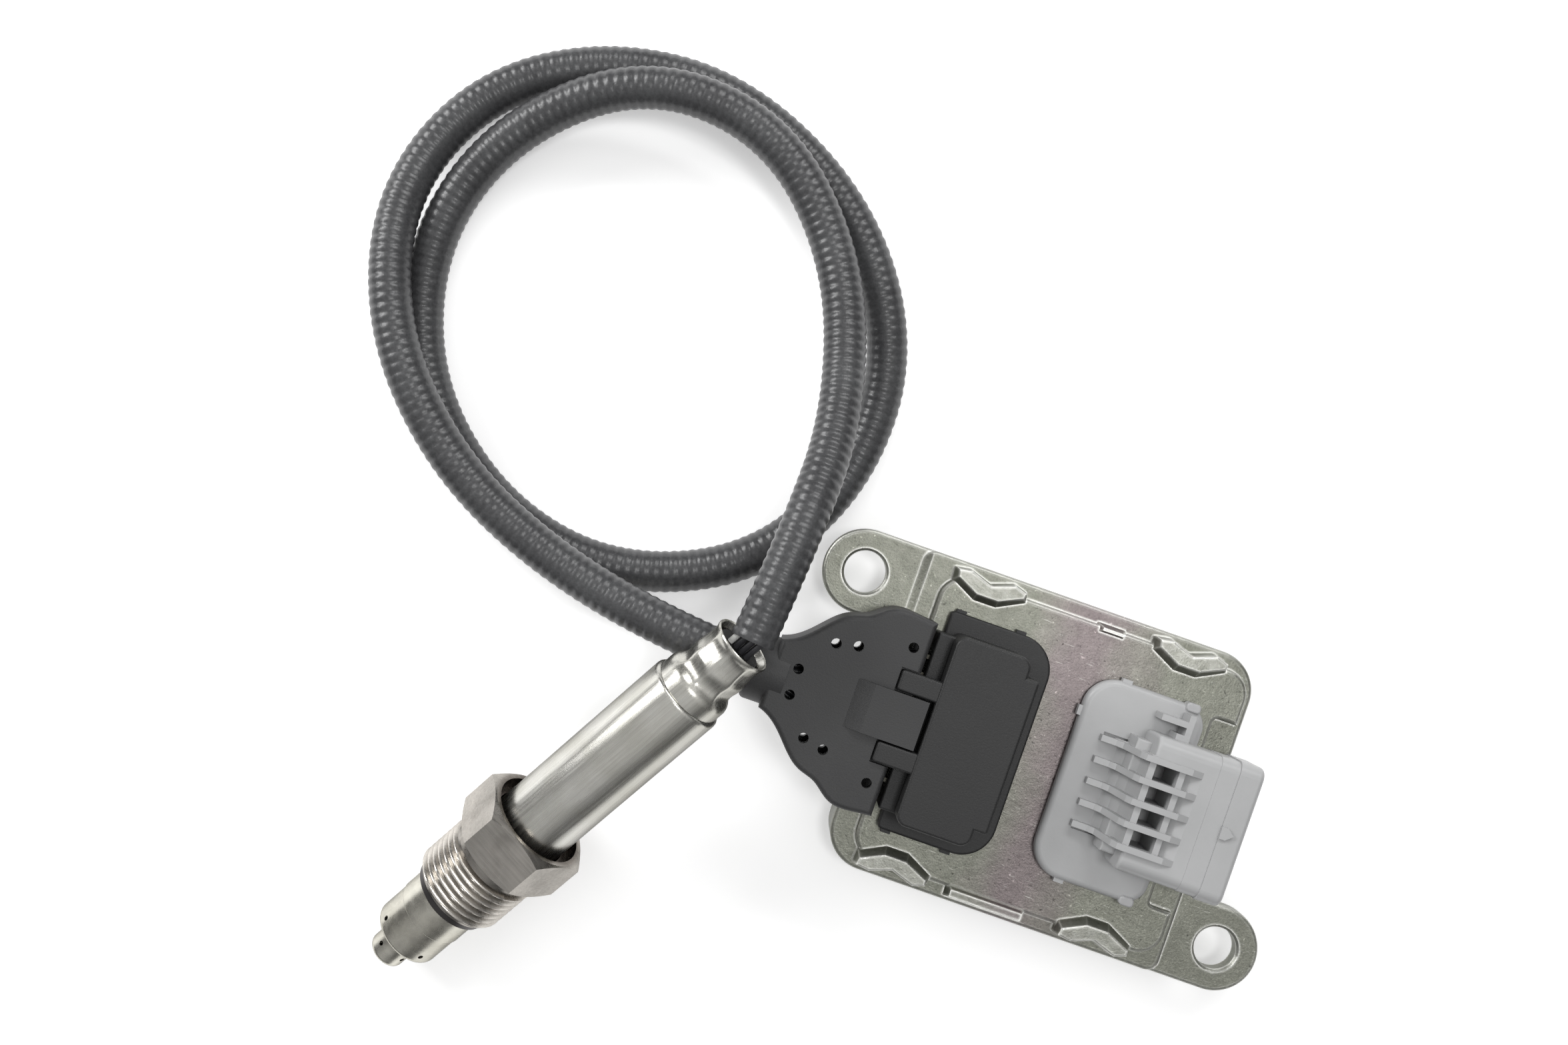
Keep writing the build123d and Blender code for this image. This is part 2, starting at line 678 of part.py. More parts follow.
def outlet_header():
    """Black header: flange, hood over the pins, and two fingers that grip the boot."""
    y = (-OUTLET_HALF_W, OUTLET_HALF_W)
    z = (SEAT_Z, OUTLET_TOP_Z)
    square_x = (OUTLET_X[0], OUTLET_X[1] - OUTLET_R)
    flange = block(OUTLET_X, y, z, OUTLET_R) + block(square_x, y, z, OUTLET_LEFT_R)
    flange = round_top(flange, OUTLET_EDGE_R)
    for x, nub_y, turn in OUTLET_NUBS:
        flange += edge_nub(x, nub_y, turn, OUTLET_TOP_Z - NUB_DROP)
    z = (OUTLET_TOP_Z - 1, HOOD_TOP_Z)
    hood = block(HOOD_X, (-HOOD_HALF_W, HOOD_HALF_W), z, HOOD_R)
    step_y = (-HOOD_STEP_HALF_W, HOOD_STEP_HALF_W)
    hood += block((HOOD_X[1] - 2 * HOOD_R, HOOD_STEP_X), step_y, z, HOOD_EDGE_R)
    hood = round_top(hood, HOOD_EDGE_R)
    shelf_x = (SHELF_X, HOOD_X[0] + HOOD_R)
    shelf = block(shelf_x, (-SHELF_HALF_W, SHELF_HALF_W), (SEAT_Z, SHELF_TOP_Z), SHELF_EDGE_R)
    header = flange + hood + round_top(shelf, SHELF_EDGE_R) + stem(OUTLET_WINDOW_X, OUTLET_WINDOW_HALF_W)
    finger_z = (BOOT_TOP_Z - FINGER_T / 2, BOOT_TOP_Z + FINGER_T / 2)
    for side in (-1, 1):
        y = sorted((side * FINGER_Y[0], side * FINGER_Y[1]))
        finger = block((FINGER_X, HOOD_X[0] + FINGER_ROOT), y, finger_z, FINGER_R)
        header += round_top(finger, FINGER_EDGE_R)
    for y in outlet_pin_ys():
        header -= bent_pin(OUTLET_PIN_X, y, PIN_W, OUTLET_PIN_END_X, BOOT_AXIS_Z, PIN_HOLE_GAP)
    return header


def boot_profile(inset=0.0):
    """Wavy plan of the boot, drawn in by inset."""
    upper = [(x, y - inset) for x, y in BOOT_OUTLINE]
    lower = [(x, -y) for x, y in upper]
    waves = [Spline(*upper), Spline(*lower)]
    ends = [Line(upper[0], lower[0]), Line(upper[-1], lower[-1])]
    return make_face(Curve() + waves + ends)


def cable_boot():
    """Black boot: a hollow wedge with vents and a round neck that holds the hose."""
    wedge = Pos(0, 0, BOOT_BOTTOM_Z) * extrude(boot_profile(), BOOT_T)
    wedge = round_top(wedge, BOOT_EDGE_R)
    neck_l = NECK_START_X - BOOT_TIP_X
    neck = Pos(BOOT_TIP_X, 0, BOOT_AXIS_Z) * Rot(0, 90, 0) * extrude(Circle(NECK_R), neck_l)
    neck = fillet(neck.edges().sort_by(Axis.X)[0], NECK_LIP_R)
    boot = wedge + neck + tongue()
    hollow_z = BOOT_BOTTOM_Z + BOOT_WALL
    hollow = Pos(0, 0, hollow_z) * extrude(boot_profile(BOOT_WALL), BOOT_T - 2 * BOOT_WALL)
    clip = block((HOSE_SEAT_X + 1, 0), (-PLATE_W, PLATE_W), (0, HOOD_TOP_Z))
    boot -= hollow & clip
    bore_l = NECK_START_X + 1 - BOOT_TIP_X
    bore = extrude(Circle(HOSE_D / 2 + HOSE_GAP), bore_l)
    boot -= Pos(BOOT_TIP_X, 0, BOOT_AXIS_Z) * Rot(0, 90, 0) * bore
    for x, y in VENTS:
        for side in (-1, 1):
            boot -= Pos(x, side * y, 0) * extrude(Circle(VENT_D / 2), HOOD_TOP_Z)
    for side in (-1, 1):
        y = sorted((side * (FINGER_Y[0] - POCKET_GAP), side * (FINGER_Y[1] + POCKET_GAP)))
        floor_z = BOOT_TOP_Z - FINGER_T / 2 - POCKET_GAP
        boot -= block((FINGER_X - POCKET_GAP, 0), y, (floor_z, HOOD_TOP_Z))
    return boot


def tongue():
    """Raised locking tongue on the boot, with a ramp at its left end."""
    base_z = BOOT_TOP_Z - BOOT_WALL
    top_z = BOOT_TOP_Z + TONGUE_H
    side = [
        (TONGUE_X[0], base_z), (TONGUE_X[0], BOOT_TOP_Z), (TONGUE_RAMP_X, top_z),
        (TONGUE_X[1], top_z), (TONGUE_X[1], base_z),
    ]
    return upright_slab(side, 0, 2 * TONGUE_HALF_W)


def boot_wires():
    """Wires that fan in from the outlet pins to the hose, in two layers."""
    wires = []
    start_x = OUTLET_PIN_END_X
    for i, y in enumerate(outlet_pin_ys()):
        layer = 1 if i % 2 else -1
        start = Vector(start_x, y, BOOT_AXIS_Z)
        end_y = (i - (OUTLET_PINS - 1) / 2) * WIRE_PITCH / 2
        end = Vector(HOSE_POINTS[0][0], end_y, BOOT_AXIS_Z + layer * WIRE_ROW)
        run = Plane(origin=start, z_dir=end - start)
        wire = run.location * extrude(Circle(WIRE_D / 2), (end - start).length + WIRE_D)
        room = block((HOSE_POINTS[0][0], start_x), (-PLATE_W, PLATE_W), (0, HOOD_TOP_Z))
        wires.append(wire & room)
    return Compound(children=wires)


def rib(y):
    """One rib, which swings up from the plug's flange and runs out over the shell."""
    crest_z = SHELL_Z[1] + RIB_H
    points = [(RIB_X[0], PLUG_TOP_Z - 1), (RIB_X[0], RIB_LOW_Z), *RIB_RAMP]
    points += [(RIB_CREST_X[0], crest_z), (RIB_CREST_X[1], crest_z), (RIB_X[1], SHELL_Z[1])]
    points += [(RIB_X[1], SHELL_Z[1] - RIB_H), (CROSS_WALL_X, SHELL_Z[1] - 2 * RIB_H)]
    points += [(GRID_X, SHELL_Z[1] - 2 * RIB_H), (GRID_X, PLUG_TOP_Z - 1)]
    return upright_slab(points, y, RIB_W)


def rib_ys():
    """Places of the ribs along Y."""
    return [(i - (RIBS - 1) / 2) * RIB_PITCH for i in range(RIBS)]


def plug_hook():
    """Bent guide hook beside the shell."""
    hook = None
    base_z = PLUG_TOP_Z - 1
    for start, end in HOOK_WALLS:
        run = Vector(*end) - Vector(*start)
        middle = (Vector(*start) + Vector(*end)) / 2
        turn = math.degrees(math.atan2(run.Y, run.X))
        wall = extrude(Rectangle(run.length + HOOK_W, HOOK_W), HOOK_TOP_Z - base_z)
        wall = Pos(middle.X, middle.Y, base_z) * Rot(0, 0, turn) * wall
        hook = wall if hook is None else hook + wall
    return hook


def plug_flange():
    """Rounded flange of the plug connector with its nubs and corner lugs."""
    flange = block(PLUG_X, (-PLUG_HALF_W, PLUG_HALF_W), (SEAT_Z, PLUG_TOP_Z))
    corners = flange.edges().filter_by(Axis.Z).sort_by(Axis.X)
    flange = fillet(corners[:2], PLUG_R)
    corners = flange.edges().filter_by(Axis.Z).sort_by(Axis.X)
    flange = round_top(fillet(corners[-2:], PLUG_RIGHT_R), PLUG_EDGE_R)
    for x, nub_y, turn in PLUG_NUBS:
        flange += edge_nub(x, nub_y, turn, PLUG_TOP_Z - NUB_DROP)
    lug_y = (PLUG_HALF_W + LUG_REACH - LUG_W, PLUG_HALF_W + LUG_REACH)
    lug = round_top(block(LUG_X, lug_y, (SEAT_Z, LUG_TOP_Z), LUG_R), LUG_EDGE_R)
    flange += lug
    flange += mirror(lug, about=Plane.XZ)
    outer_y = rib_ys()[-1] + RIB_W / 2
    groove_z = (PLUG_TOP_Z - GROOVE_DEPTH, PLUG_TOP_Z + 1)
    groove = block(GROOVE_X, (outer_y, outer_y + GROOVE_W), groove_z)
    return flange - groove - mirror(groove, about=Plane.XZ)


def shell_tube(start, end, grow):
    """Solid length of the plug's shell between two places along X, grown all round by grow."""
    end_view = Plane(origin=(start, 0, SHELL_AXIS_Z), x_dir=(0, 1, 0), z_dir=(1, 0, 0)).location
    height = SHELL_Z[1] - SHELL_Z[0] + 2 * grow
    return end_view * extrude(RectangleRounded(2 * (SHELL_HALF_W + grow), height, SHELL_R), end - start)


def plug_shell():
    """Shell from its rounded back to the stepped rim of its mouth, still solid."""
    back = shell_tube(SHELL_X[0], BAND_X, 0)
    back = fillet(back.faces().sort_by(Axis.X)[0].edges(), SHELL_BACK_R)
    collar = shell_tube(COLLAR_X, SHELL_X[1], COLLAR_H)
    collar = fillet(collar.faces().sort_by(Axis.X)[-1].edges(), MOUTH_EDGE_R)
    arrow = [(ARROW_X[0], -ARROW_HALF_W), (ARROW_X[1], -ARROW_HALF_W), (ARROW_TIP_X, 0)]
    arrow += [(ARROW_X[1], ARROW_HALF_W), (ARROW_X[0], ARROW_HALF_W)]
    key = Pos(0, 0, SHELL_Z[1]) * extrude(Polygon(*arrow, align=None), COLLAR_H + ARROW_H)
    return back + shell_tube(BAND_X, COLLAR_X, BAND_H) + collar + key


def plug_connector():
    """Grey plug connector: flange, ribbed back and a shell that opens towards +X."""
    grid_y = (-GRID_HALF_W, GRID_HALF_W)
    base_z = PLUG_TOP_Z - 1
    connector = plug_flange() + plug_shell() + plug_hook()
    connector += stem(PLUG_WINDOW_X, PLUG_WINDOW_HALF_W)
    connector += block((GRID_X, SHELL_X[0] + 1), grid_y, (base_z, SHELL_Z[1]))
    connector += upright_slab(VALLEY, 0, 2 * GRID_HALF_W)
    cheek_y = (GRID_HALF_W / 2, CHEEK_HALF_W)
    cheek = round_top(block(CHEEK_X, cheek_y, (base_z, CHEEK_TOP_Z)), CHEEK_EDGE_R)
    connector += cheek
    connector += mirror(cheek, about=Plane.XZ)
    top_z = SHELL_Z[1]
    pocket = [(CROSS_WALL_X, top_z - POCKET_DEPTH), (RIB_X[1], top_z), (CROSS_WALL_X, top_z + 1)]
    half = (RIB_PITCH - RIB_W) / 2
    for y in plug_pin_ys():
        connector -= upright_slab(pocket, y, 2 * half)
    for y in rib_ys():
        connector += rib(y)
    for y in plug_pin_ys():
        connector -= block(WELL_X, (y - half, y + half), (WELL_FLOOR_Z, top_z + 2))
    end_view = Plane(origin=(MOUTH_X, 0, SHELL_AXIS_Z), x_dir=(0, 1, 0), z_dir=(1, 0, 0)).location
    height = SHELL_Z[1] - SHELL_Z[0] - 2 * SHELL_WALL
    mouth = RectangleRounded(2 * (SHELL_HALF_W - SHELL_WALL), height, SHELL_R - 1)
    connector -= end_view * extrude(mouth, SHELL_X[1])
    for y in plug_pin_ys():
        connector -= bent_pin(PLUG_PIN_X, y, PLUG_PIN_W, MOUTH_X + 1, SHELL_AXIS_Z, PIN_HOLE_GAP)
    return connector


def hose_radii():
    """Bend radius at each inner guide point: 0.45 of the shorter run over the half turn's tangent."""
    points = [Vector(*p) for p in HOSE_POINTS]
    runs = [b - a for a, b in zip(points, points[1:])]
    radii = []
    for before, after in zip(runs, runs[1:]):
        half_turn = math.radians(before.get_angle(after)) / 2
        radii.append(RUN_SHARE * min(before.length, after.length) / math.tan(half_turn))
    return radii


def hose():
    """Armoured hose as a plain tube along its route."""
    path = FilletPolyline(*HOSE_POINTS, radius=hose_radii())
    start = Plane(origin=path @ 0, z_dir=path % 0)
    tube = sweep(start * Circle(HOSE_D / 2), path=path)
    section = math.pi * (HOSE_D / 2) ** 2
    print("hose length", round(path.length, 1), "volume ratio", round(tube.volume / section / path.length, 4))
    print("hose radii", [round(r, 1) for r in hose_radii()])
    return tube


def probe_tilt():
    """Rise of the probe's axis: its shield's front rim is on the floor, its crimp on the boot."""
    crimp_z = BOOT_AXIS_Z + NECK_R + REST_GAP + FLANK_SHARE * CRIMP_D / 2
    rim_r = SHIELD_D / 2 - SHIELD_STEP
    reach = PROBE_L - SHIELD_START
    lean = math.atan2(rim_r, reach)
    return math.asin(crimp_z / math.hypot(rim_r, reach)) - lean


def probe_place():
    """Location that takes a shape along +Z, tip at the origin, to the probe's place."""
    tilt = probe_tilt()
    turn = math.radians(PROBE_TURN)
    rim_r = SHIELD_D / 2 - SHIELD_STEP
    axis = (math.cos(tilt) * math.cos(turn), math.cos(tilt) * math.sin(turn), math.sin(tilt))
    tip_x, tip_y = (rear - PROBE_L * along for rear, along in zip(REAR_XY, axis))
    tip_z = rim_r * math.cos(tilt) - SHIELD_START * math.sin(tilt)
    level = (math.sin(turn), -math.cos(turn), 0)
    return Plane(origin=(tip_x, tip_y, tip_z), x_dir=level, z_dir=axis).location


def turned(points):
    """Solid of revolution about Z from (radius, station) points."""
    profile = Polygon(*points, align=None)
    return revolve(Plane.XZ.location * profile, Axis.Z)


def cylinder(diameter, start, end):
    """Cylinder about Z between two stations."""
    return Pos(0, 0, start) * extrude(Circle(diameter / 2), end - start)


def radial_drill(diameter, station, count, reach, turn=0.0):
    """Evenly spaced radial drills at a station."""
    drill = Pos(0, 0, station) * Rot(0, 90, 0) * extrude(Circle(diameter / 2), reach)
    return [Rot(0, 0, turn + 360 * i / count) * drill for i in range(count)]


def inner_shield():
    """Small perforated tube at the tip, with a closed round nose."""
    tube = cylinder(NOSE_D, 0, NOSE_END)
    tube = fillet(tube.edges().sort_by(Axis.Z)[0], NOSE_EDGE_R)
    tube -= cylinder(NOSE_D - 2 * NOSE_WALL, NOSE_WALL, NOSE_END)
    tube -= cylinder(GAS_HOLE_D, -1, NOSE_WALL + 1)
    for drill in radial_drill(GAS_HOLE_D, NOSE_HOLE_AT, GAS_HOLES, NOSE_D, 60):
        tube -= drill
    return tube


def outer_shield():
    """Large perforated tube with a rolled seam and a closed front around the inner one."""
    front_d = SHIELD_D - 2 * SHIELD_STEP
    front = cylinder(front_d, SHIELD_START, SHIELD_SEAM)
    front = fillet(front.edges().sort_by(Axis.Z)[0], SHIELD_EDGE_R)
    rear = cylinder(SHIELD_D, SHIELD_SEAM, SHIELD_END)
    rear = fillet(rear.edges().sort_by(Axis.Z)[0], SHIELD_STEP)
    tube = front + rear
    tube -= cylinder(front_d - 2 * SHIELD_WALL, SHIELD_START + SHIELD_WALL, SHIELD_END)
    tube -= cylinder(NOSE_D + 2 * FIT_GAP, 0, SHIELD_END)
    for drill in radial_drill(GAS_HOLE_D, SHIELD_HOLE_AT, GAS_HOLES, SHIELD_D, 45):
        tube -= drill
    return tube


def sealing_ring():
    """Dark sealing ring between the shield and the nut."""
    ring = cylinder(RING_D, SHIELD_END, RING_END) - cylinder(spigot_d() + 2 * FIT_GAP, 0, PROBE_L)
    rims = ring.edges().filter_by(GeomType.CIRCLE).group_by(SortBy.RADIUS)[-1]
    return chamfer(rims, RING_BEVEL)


def spigot_d():
    """Diameter of the body's front end, which fits inside the outer shield."""
    return SHIELD_D - 2 * SHIELD_STEP - 2 * SHIELD_WALL - 2 * FIT_GAP


def inner_stations():
    """Stations of the stack, the body's end and the contact holder.

    Their lengths are stretched alike, so that together they fill the room in front of the collar.
    """
    runs = (
        FRONT_INSULATOR_L, TALC_L, REAR_INSULATOR_L, BODY_TAIL_L, HOLDER_GAP, HOLDER_L,
        HOLDER_TAIL_L,
    )
    stretch = (SLEEVE_END - STACK_START) / sum(runs)
    stations = [STACK_START]
    for run in runs:
        stations.append(stations[-1] + run * stretch)
    return stations


def body_end():
    """Station of the body's rear end."""
    return inner_stations()[4]


def holder_span():
    """Stations of the contact holder's two ends."""
    return inner_stations()[5:7]


def probe_body():
    """Steel body that carries shields, sleeve and sensing stack."""
    spigot = spigot_d() / 2
    shoulder = BODY_D / 2
    rear = SLEEVE_BORE_D / 2 - FIT_GAP
    bore = BODY_BORE_D / 2
    lip = NOSE_D / 2 + FIT_GAP
    return turned([
        (lip, SPIGOT_START), (spigot, SPIGOT_START), (spigot, RING_END), (shoulder, RING_END),
        (shoulder, BODY_STEP), (rear, BODY_STEP), (rear, body_end()), (bore, body_end()),
        (bore, STACK_START), (lip, STACK_START),
    ])


def swivel_nut():
    """Nut with the mounting thread and hexagon, free to turn round the body and sleeve."""
    bore = SLEEVE_D / 2 + NUT_GAP
    start = RING_END + NUT_GAP
    thread = cylinder(THREAD_D, start, THREAD_END)
    thread = chamfer(thread.edges().sort_by(Axis.Z)[0], THREAD_CHAMFER)
    nut = thread + cylinder(RELIEF_D, THREAD_END - NUT_OVERLAP, HEX_START + NUT_OVERLAP)
    corner = HEX_FLATS / math.sqrt(3)
    hexagon = Pos(0, 0, HEX_START) * extrude(RegularPolygon(corner, 6), HEX_END - HEX_START)
    flat = HEX_FLATS / 2 - HEX_LAND
    bevelled = turned([
        (0, HEX_START), (flat, HEX_START), (corner, HEX_START + HEX_BEVEL),
        (corner, HEX_END - HEX_BEVEL), (flat, HEX_END), (0, HEX_END),
    ])
    nut += hexagon & bevelled
    nut -= cylinder(2 * bore, start - 1, HEX_END + 1)
    return nut - cylinder(NUT_RECESS_D, HEX_END - NUT_RECESS_T, HEX_END + 1)


def sensor_sleeve():
    """Drawn sleeve from the nut to the crimped neck, whose waist and bulge have eight flats."""
    bore = SLEEVE_BORE_D / 2
    collar_bore = COLLAR_D / 2 - SLEEVE_WALL
    crimp_bore = CRIMP_BORE_D / 2
    outer = [
        (SLEEVE_D / 2, BODY_STEP), (SLEEVE_D / 2, SLEEVE_END - SLEEVE_EDGE), (COLLAR_D / 2, SLEEVE_END),
        (COLLAR_D / 2, COLLAR_END),
    ]
    outer += [(r, PROBE_L - back) for r, back in CRIMP_OUTLINE]
    outer += [(CRIMP_D / 2, PROBE_L - CRIMP_LIP), (CRIMP_D / 2, PROBE_L)]
    waist = PROBE_L - CRIMP_OUTLINE[2][1]
    inner = [(crimp_bore, PROBE_L), (crimp_bore, waist), (collar_bore, COLLAR_END - SLEEVE_WALL)]
    inner += [(collar_bore, SLEEVE_END), (bore, SLEEVE_END - 2 * SLEEVE_EDGE), (bore, BODY_STEP)]
    sleeve = turned(outer + inner)
    for i in range(CRIMP_FLATS):
        cutter = Pos(CRIMP_FLAT_R + 1, 0, CRIMP_FLAT_AT + CRIMP_FLAT_L / 2) * Box(2, CRIMP_D, CRIMP_FLAT_L)
        sleeve -= Rot(0, 0, 360 * (i + 0.5) / CRIMP_FLATS) * cutter
    return sleeve


def sensing_element():
    """Flat ceramic strip that reaches from the tip to the contacts."""
    start, end = holder_span()
    reach = start + ELEMENT_GRIP / HOLDER_L * (end - start)
    return Pos(0, 0, ELEMENT_START) * extrude(Rectangle(ELEMENT_W, ELEMENT_T), reach - ELEMENT_START)


def element_slot(start, end):
    """Slot that clears the sensing element."""
    slot = Rectangle(ELEMENT_W + 2 * FIT_GAP, ELEMENT_T + 2 * FIT_GAP)
    return Pos(0, 0, start - 1) * extrude(slot, end - start + 2)


def stack_disc(start, end):
    """Ceramic or powder disc around the sensing element."""
    return cylinder(BODY_BORE_D - 2 * FIT_GAP, start, end) - element_slot(start, end)


def contact_spots():
    """Places of contacts and wires about the axis, in two rows."""
    middle = (WIRES_PER_ROW - 1) / 2
    return [((i - middle) * WIRE_PITCH, row) for row in (-1, 1) for i in range(WIRES_PER_ROW)]


def contact_holder():
    """Ceramic holder that presses the contacts onto the element."""
    start, end = holder_span()
    holder = cylinder(SLEEVE_BORE_D - 2 * FIT_GAP, start, end)
    slot_w = ELEMENT_W + 4 * FIT_GAP
    return holder - Pos(0, 0, start - 1) * extrude(Rectangle(slot_w, HOLDER_SLOT_H), end - start + 2)


def contact_strips():
    """Eight contact strips, four on each face of the element."""
    start, end = holder_span()
    strips = []
    for x, row in contact_spots():
        y = row * (ELEMENT_T / 2 + FIT_GAP + CONTACT_T / 2)
        outline = Rectangle(CONTACT_W, CONTACT_T)
        strips.append(Pos(x, y, start + CONTACT_INSET) * extrude(outline, end - start - CONTACT_INSET))
    return Compound(children=strips)


def wire_grommet():
    """Rubber plug in the crimped neck, with one hole for each wire."""
    plug = cylinder(CRIMP_BORE_D - 2 * FIT_GAP, *GROMMET_SPAN)
    for x, row in contact_spots():
        plug -= Pos(x, row * WIRE_ROW, 0) * cylinder(WIRE_D + 2 * FIT_GAP, 0, PROBE_L)
    return plug


def lead_wires(place):
    """Wires from the contacts through the grommet to the hose's end face."""
    end = Vector(*HOSE_POINTS[-1])
    away = Vector(*HOSE_POINTS[-2]) - end
    beyond = Plane(origin=end, z_dir=away).location * extrude(Circle(SLEEVE_D), SLEEVE_D)
    wires = []
    for x, row in contact_spots():
        wire = Pos(x, row * WIRE_ROW, 0) * cylinder(WIRE_D, holder_span()[1], PROBE_L + SLEEVE_D / 2)
        wires.append(place * wire - beyond)
    return Compound(children=wires)


def write(name, shape):
    """Write one node's STEP file."""
    shape.label = name
    export_step(shape, "parts/" + name + ".step")


def main():
    os.makedirs("parts", exist_ok=True)
    write("front_housing", front_housing())
    write("back_cover", back_cover())
    write("cover_seal", cover_seal())
    write("circuit_board", circuit_board())
    write("board_screws", board_screws())
    write("processor_chip", processor_chip())
    write("driver_chips", driver_chips())
    write("power_transistor", power_transistor())
    write("supply_capacitors", supply_capacitors())
    write("clock_crystal", clock_crystal())
    write("outlet_gasket", gasket(OUTLET_X, OUTLET_HALF_W, OUTLET_R, OUTLET_WINDOW_X, OUTLET_WINDOW_HALF_W))
    write("plug_gasket", gasket(PLUG_X, PLUG_HALF_W, PLUG_R, PLUG_WINDOW_X, PLUG_WINDOW_HALF_W))
    write("outlet_header", outlet_header())
    write("outlet_pins", outlet_pins())
    write("cable_boot", cable_boot())
    write("boot_wires", boot_wires())
    write("plug_connector", plug_connector())
    write("plug_pins", plug_pins())
    write("hose", hose())
    place = probe_place()
    print("probe tilt", round(math.degrees(probe_tilt()), 2), "place", place)
    write("inner_shield", place * inner_shield())
    write("outer_shield", place * outer_shield())
    write("sealing_ring", place * sealing_ring())
    write("probe_body", place * probe_body())
    write("swivel_nut", place * swivel_nut())
    write("sensor_sleeve", place * sensor_sleeve())
    write("sensing_element", place * sensing_element())
    stations = inner_stations()
    write("front_insulator", place * stack_disc(stations[0], stations[1]))
    write("talc_packing", place * stack_disc(stations[1], stations[2]))
    write("rear_insulator", place * stack_disc(stations[2], stations[3]))
    write("contact_holder", place * contact_holder())
    write("contact_strips", place * contact_strips())
    write("wire_grommet", place * wire_grommet())
    write("lead_wires", lead_wires(place))


main()
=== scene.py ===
"""Exhaust gas sensor: steel probe, armoured hose and eared control unit, lying on a pale table."""
import json
import math

import bmesh
import bpy
from mathutils import Matrix, Vector


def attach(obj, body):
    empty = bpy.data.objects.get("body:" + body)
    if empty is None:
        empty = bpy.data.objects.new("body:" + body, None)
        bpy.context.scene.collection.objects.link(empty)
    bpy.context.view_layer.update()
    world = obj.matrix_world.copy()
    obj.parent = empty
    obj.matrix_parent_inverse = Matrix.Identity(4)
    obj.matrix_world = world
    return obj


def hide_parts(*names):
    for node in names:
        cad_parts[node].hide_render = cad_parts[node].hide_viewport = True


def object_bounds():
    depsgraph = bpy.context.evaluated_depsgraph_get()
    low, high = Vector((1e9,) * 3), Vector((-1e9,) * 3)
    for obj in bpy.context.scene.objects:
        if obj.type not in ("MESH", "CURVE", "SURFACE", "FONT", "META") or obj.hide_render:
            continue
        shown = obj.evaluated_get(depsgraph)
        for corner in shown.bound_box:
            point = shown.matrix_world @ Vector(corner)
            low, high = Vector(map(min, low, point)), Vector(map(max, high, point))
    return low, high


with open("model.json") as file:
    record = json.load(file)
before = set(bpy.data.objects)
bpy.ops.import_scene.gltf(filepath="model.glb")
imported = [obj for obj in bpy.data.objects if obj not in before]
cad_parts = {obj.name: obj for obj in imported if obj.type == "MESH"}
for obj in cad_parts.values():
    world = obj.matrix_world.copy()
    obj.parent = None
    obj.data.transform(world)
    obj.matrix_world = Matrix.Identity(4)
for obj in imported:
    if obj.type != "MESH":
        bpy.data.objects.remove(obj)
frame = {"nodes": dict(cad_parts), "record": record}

CAD_BOX = [list(corner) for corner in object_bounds()]
MM = 0.001

# The camera, the lights and the table, in metres
CAMERA_PLACE = (-0.0641, 0.0279, 0.310)
CAMERA_TURN = math.radians(19.3)
LENS_MM = 34.44
SENSOR_MM = 36
LIGHT_AIM = (-0.05, 0.01, 0)
TABLE_SIZE = 3
TABLE_DROP = 0.0001
GLOW_REACH = (0.35, 1.6)
GLOW_LEVELS = (0.35, 0.64)

# The hose, in metres: its route is the one in the part's source, with some points moved
HOSE_ROUTE = [
    (-0.055, 0, 0.0195), (-0.072, 0, 0.0195), (-0.104, 0.005, 0.0145),
    (-0.131, 0.017, 0.0135), (-0.151, 0.038, 0.0137), (-0.16, 0.065, 0.008),
    (-0.1514, 0.0905, 0.0043), (-0.1293, 0.1051, 0.0043), (-0.1015, 0.1078, 0.0043),
    (-0.0717, 0.0936, 0.0043), (-0.054, 0.069, 0.0043), (-0.0533, 0.041, 0.0043),
    (-0.067, 0.0173, 0.0043), (-0.0945, 0.0058, 0.0043), (-0.122, 0.0115, 0.0043),
    (-0.144, 0.031, 0.0043), (-0.152, 0.059, 0.0043), (-0.143, 0.085, 0.0065),
    (-0.119, 0.103, 0.0125), (-0.0906, 0.1008, 0.0135), (-0.0696, 0.0803, 0.0135),
    (-0.06, 0.0516, 0.0205), (-0.0604, 0.026, 0.0332), (-0.0624, 0.0053, 0.034),
]
SPLINE_STEPS = 24
HOSE_D = 0.0085
HOSE_WALL = 0.0011
HOSE_MOUTH = 0.004
HOSE_SIDES = 26
RIB_PITCH = 0.00196
RIB_DEPTH = 0.00019
RIB_STEPS = 6
RIB_FULLNESS = 0.7
WELD = 1e-6

# The probe, in millimetres: stations run from its nose along the axis that the nut turns on
NUT_STATION = 28.2
SPIN_STEPS = 96
SPIN_WELD = 1e-4
CLOSE = 0.01

# The nut; its hexagon's turn is in degrees
BORE_R = 8.3
THREAD_PITCH = 1.5
THREAD_R = 10.0
THREAD_DEPTH = 0.85
ROOT_R = THREAD_R - THREAD_DEPTH
THREAD_FROM = 22.4
THREAD_TO = 33.0
THREAD_CUTS = 90
CREST_FULLNESS = 0.8
LEAD_LENGTH = 0.5
LEAD_SLOPE = 1.2
UNDERCUT_R = 9.1
UNDERCUT_RAMP = 0.3
HEX_FROM = 35.8
HEX_TO = 45.9
HEX_TURN = 30
HEX_HALF_FLATS = 11.0
HEX_FACE_R = 10.7
HEX_CORNER_R = 13.2
HEX_CHAMFER = 1.45
CORNER_ROUND = 0.12
CRISP_FROM = HEX_FROM - 0.1
CRISP_MIN_R = 10.5
CRISP_ANGLE = math.radians(20)
SEAT_MOUTH_R = 9.8
SEAT_FLOOR_R = 9.5
SEAT_DEPTH = 2.6

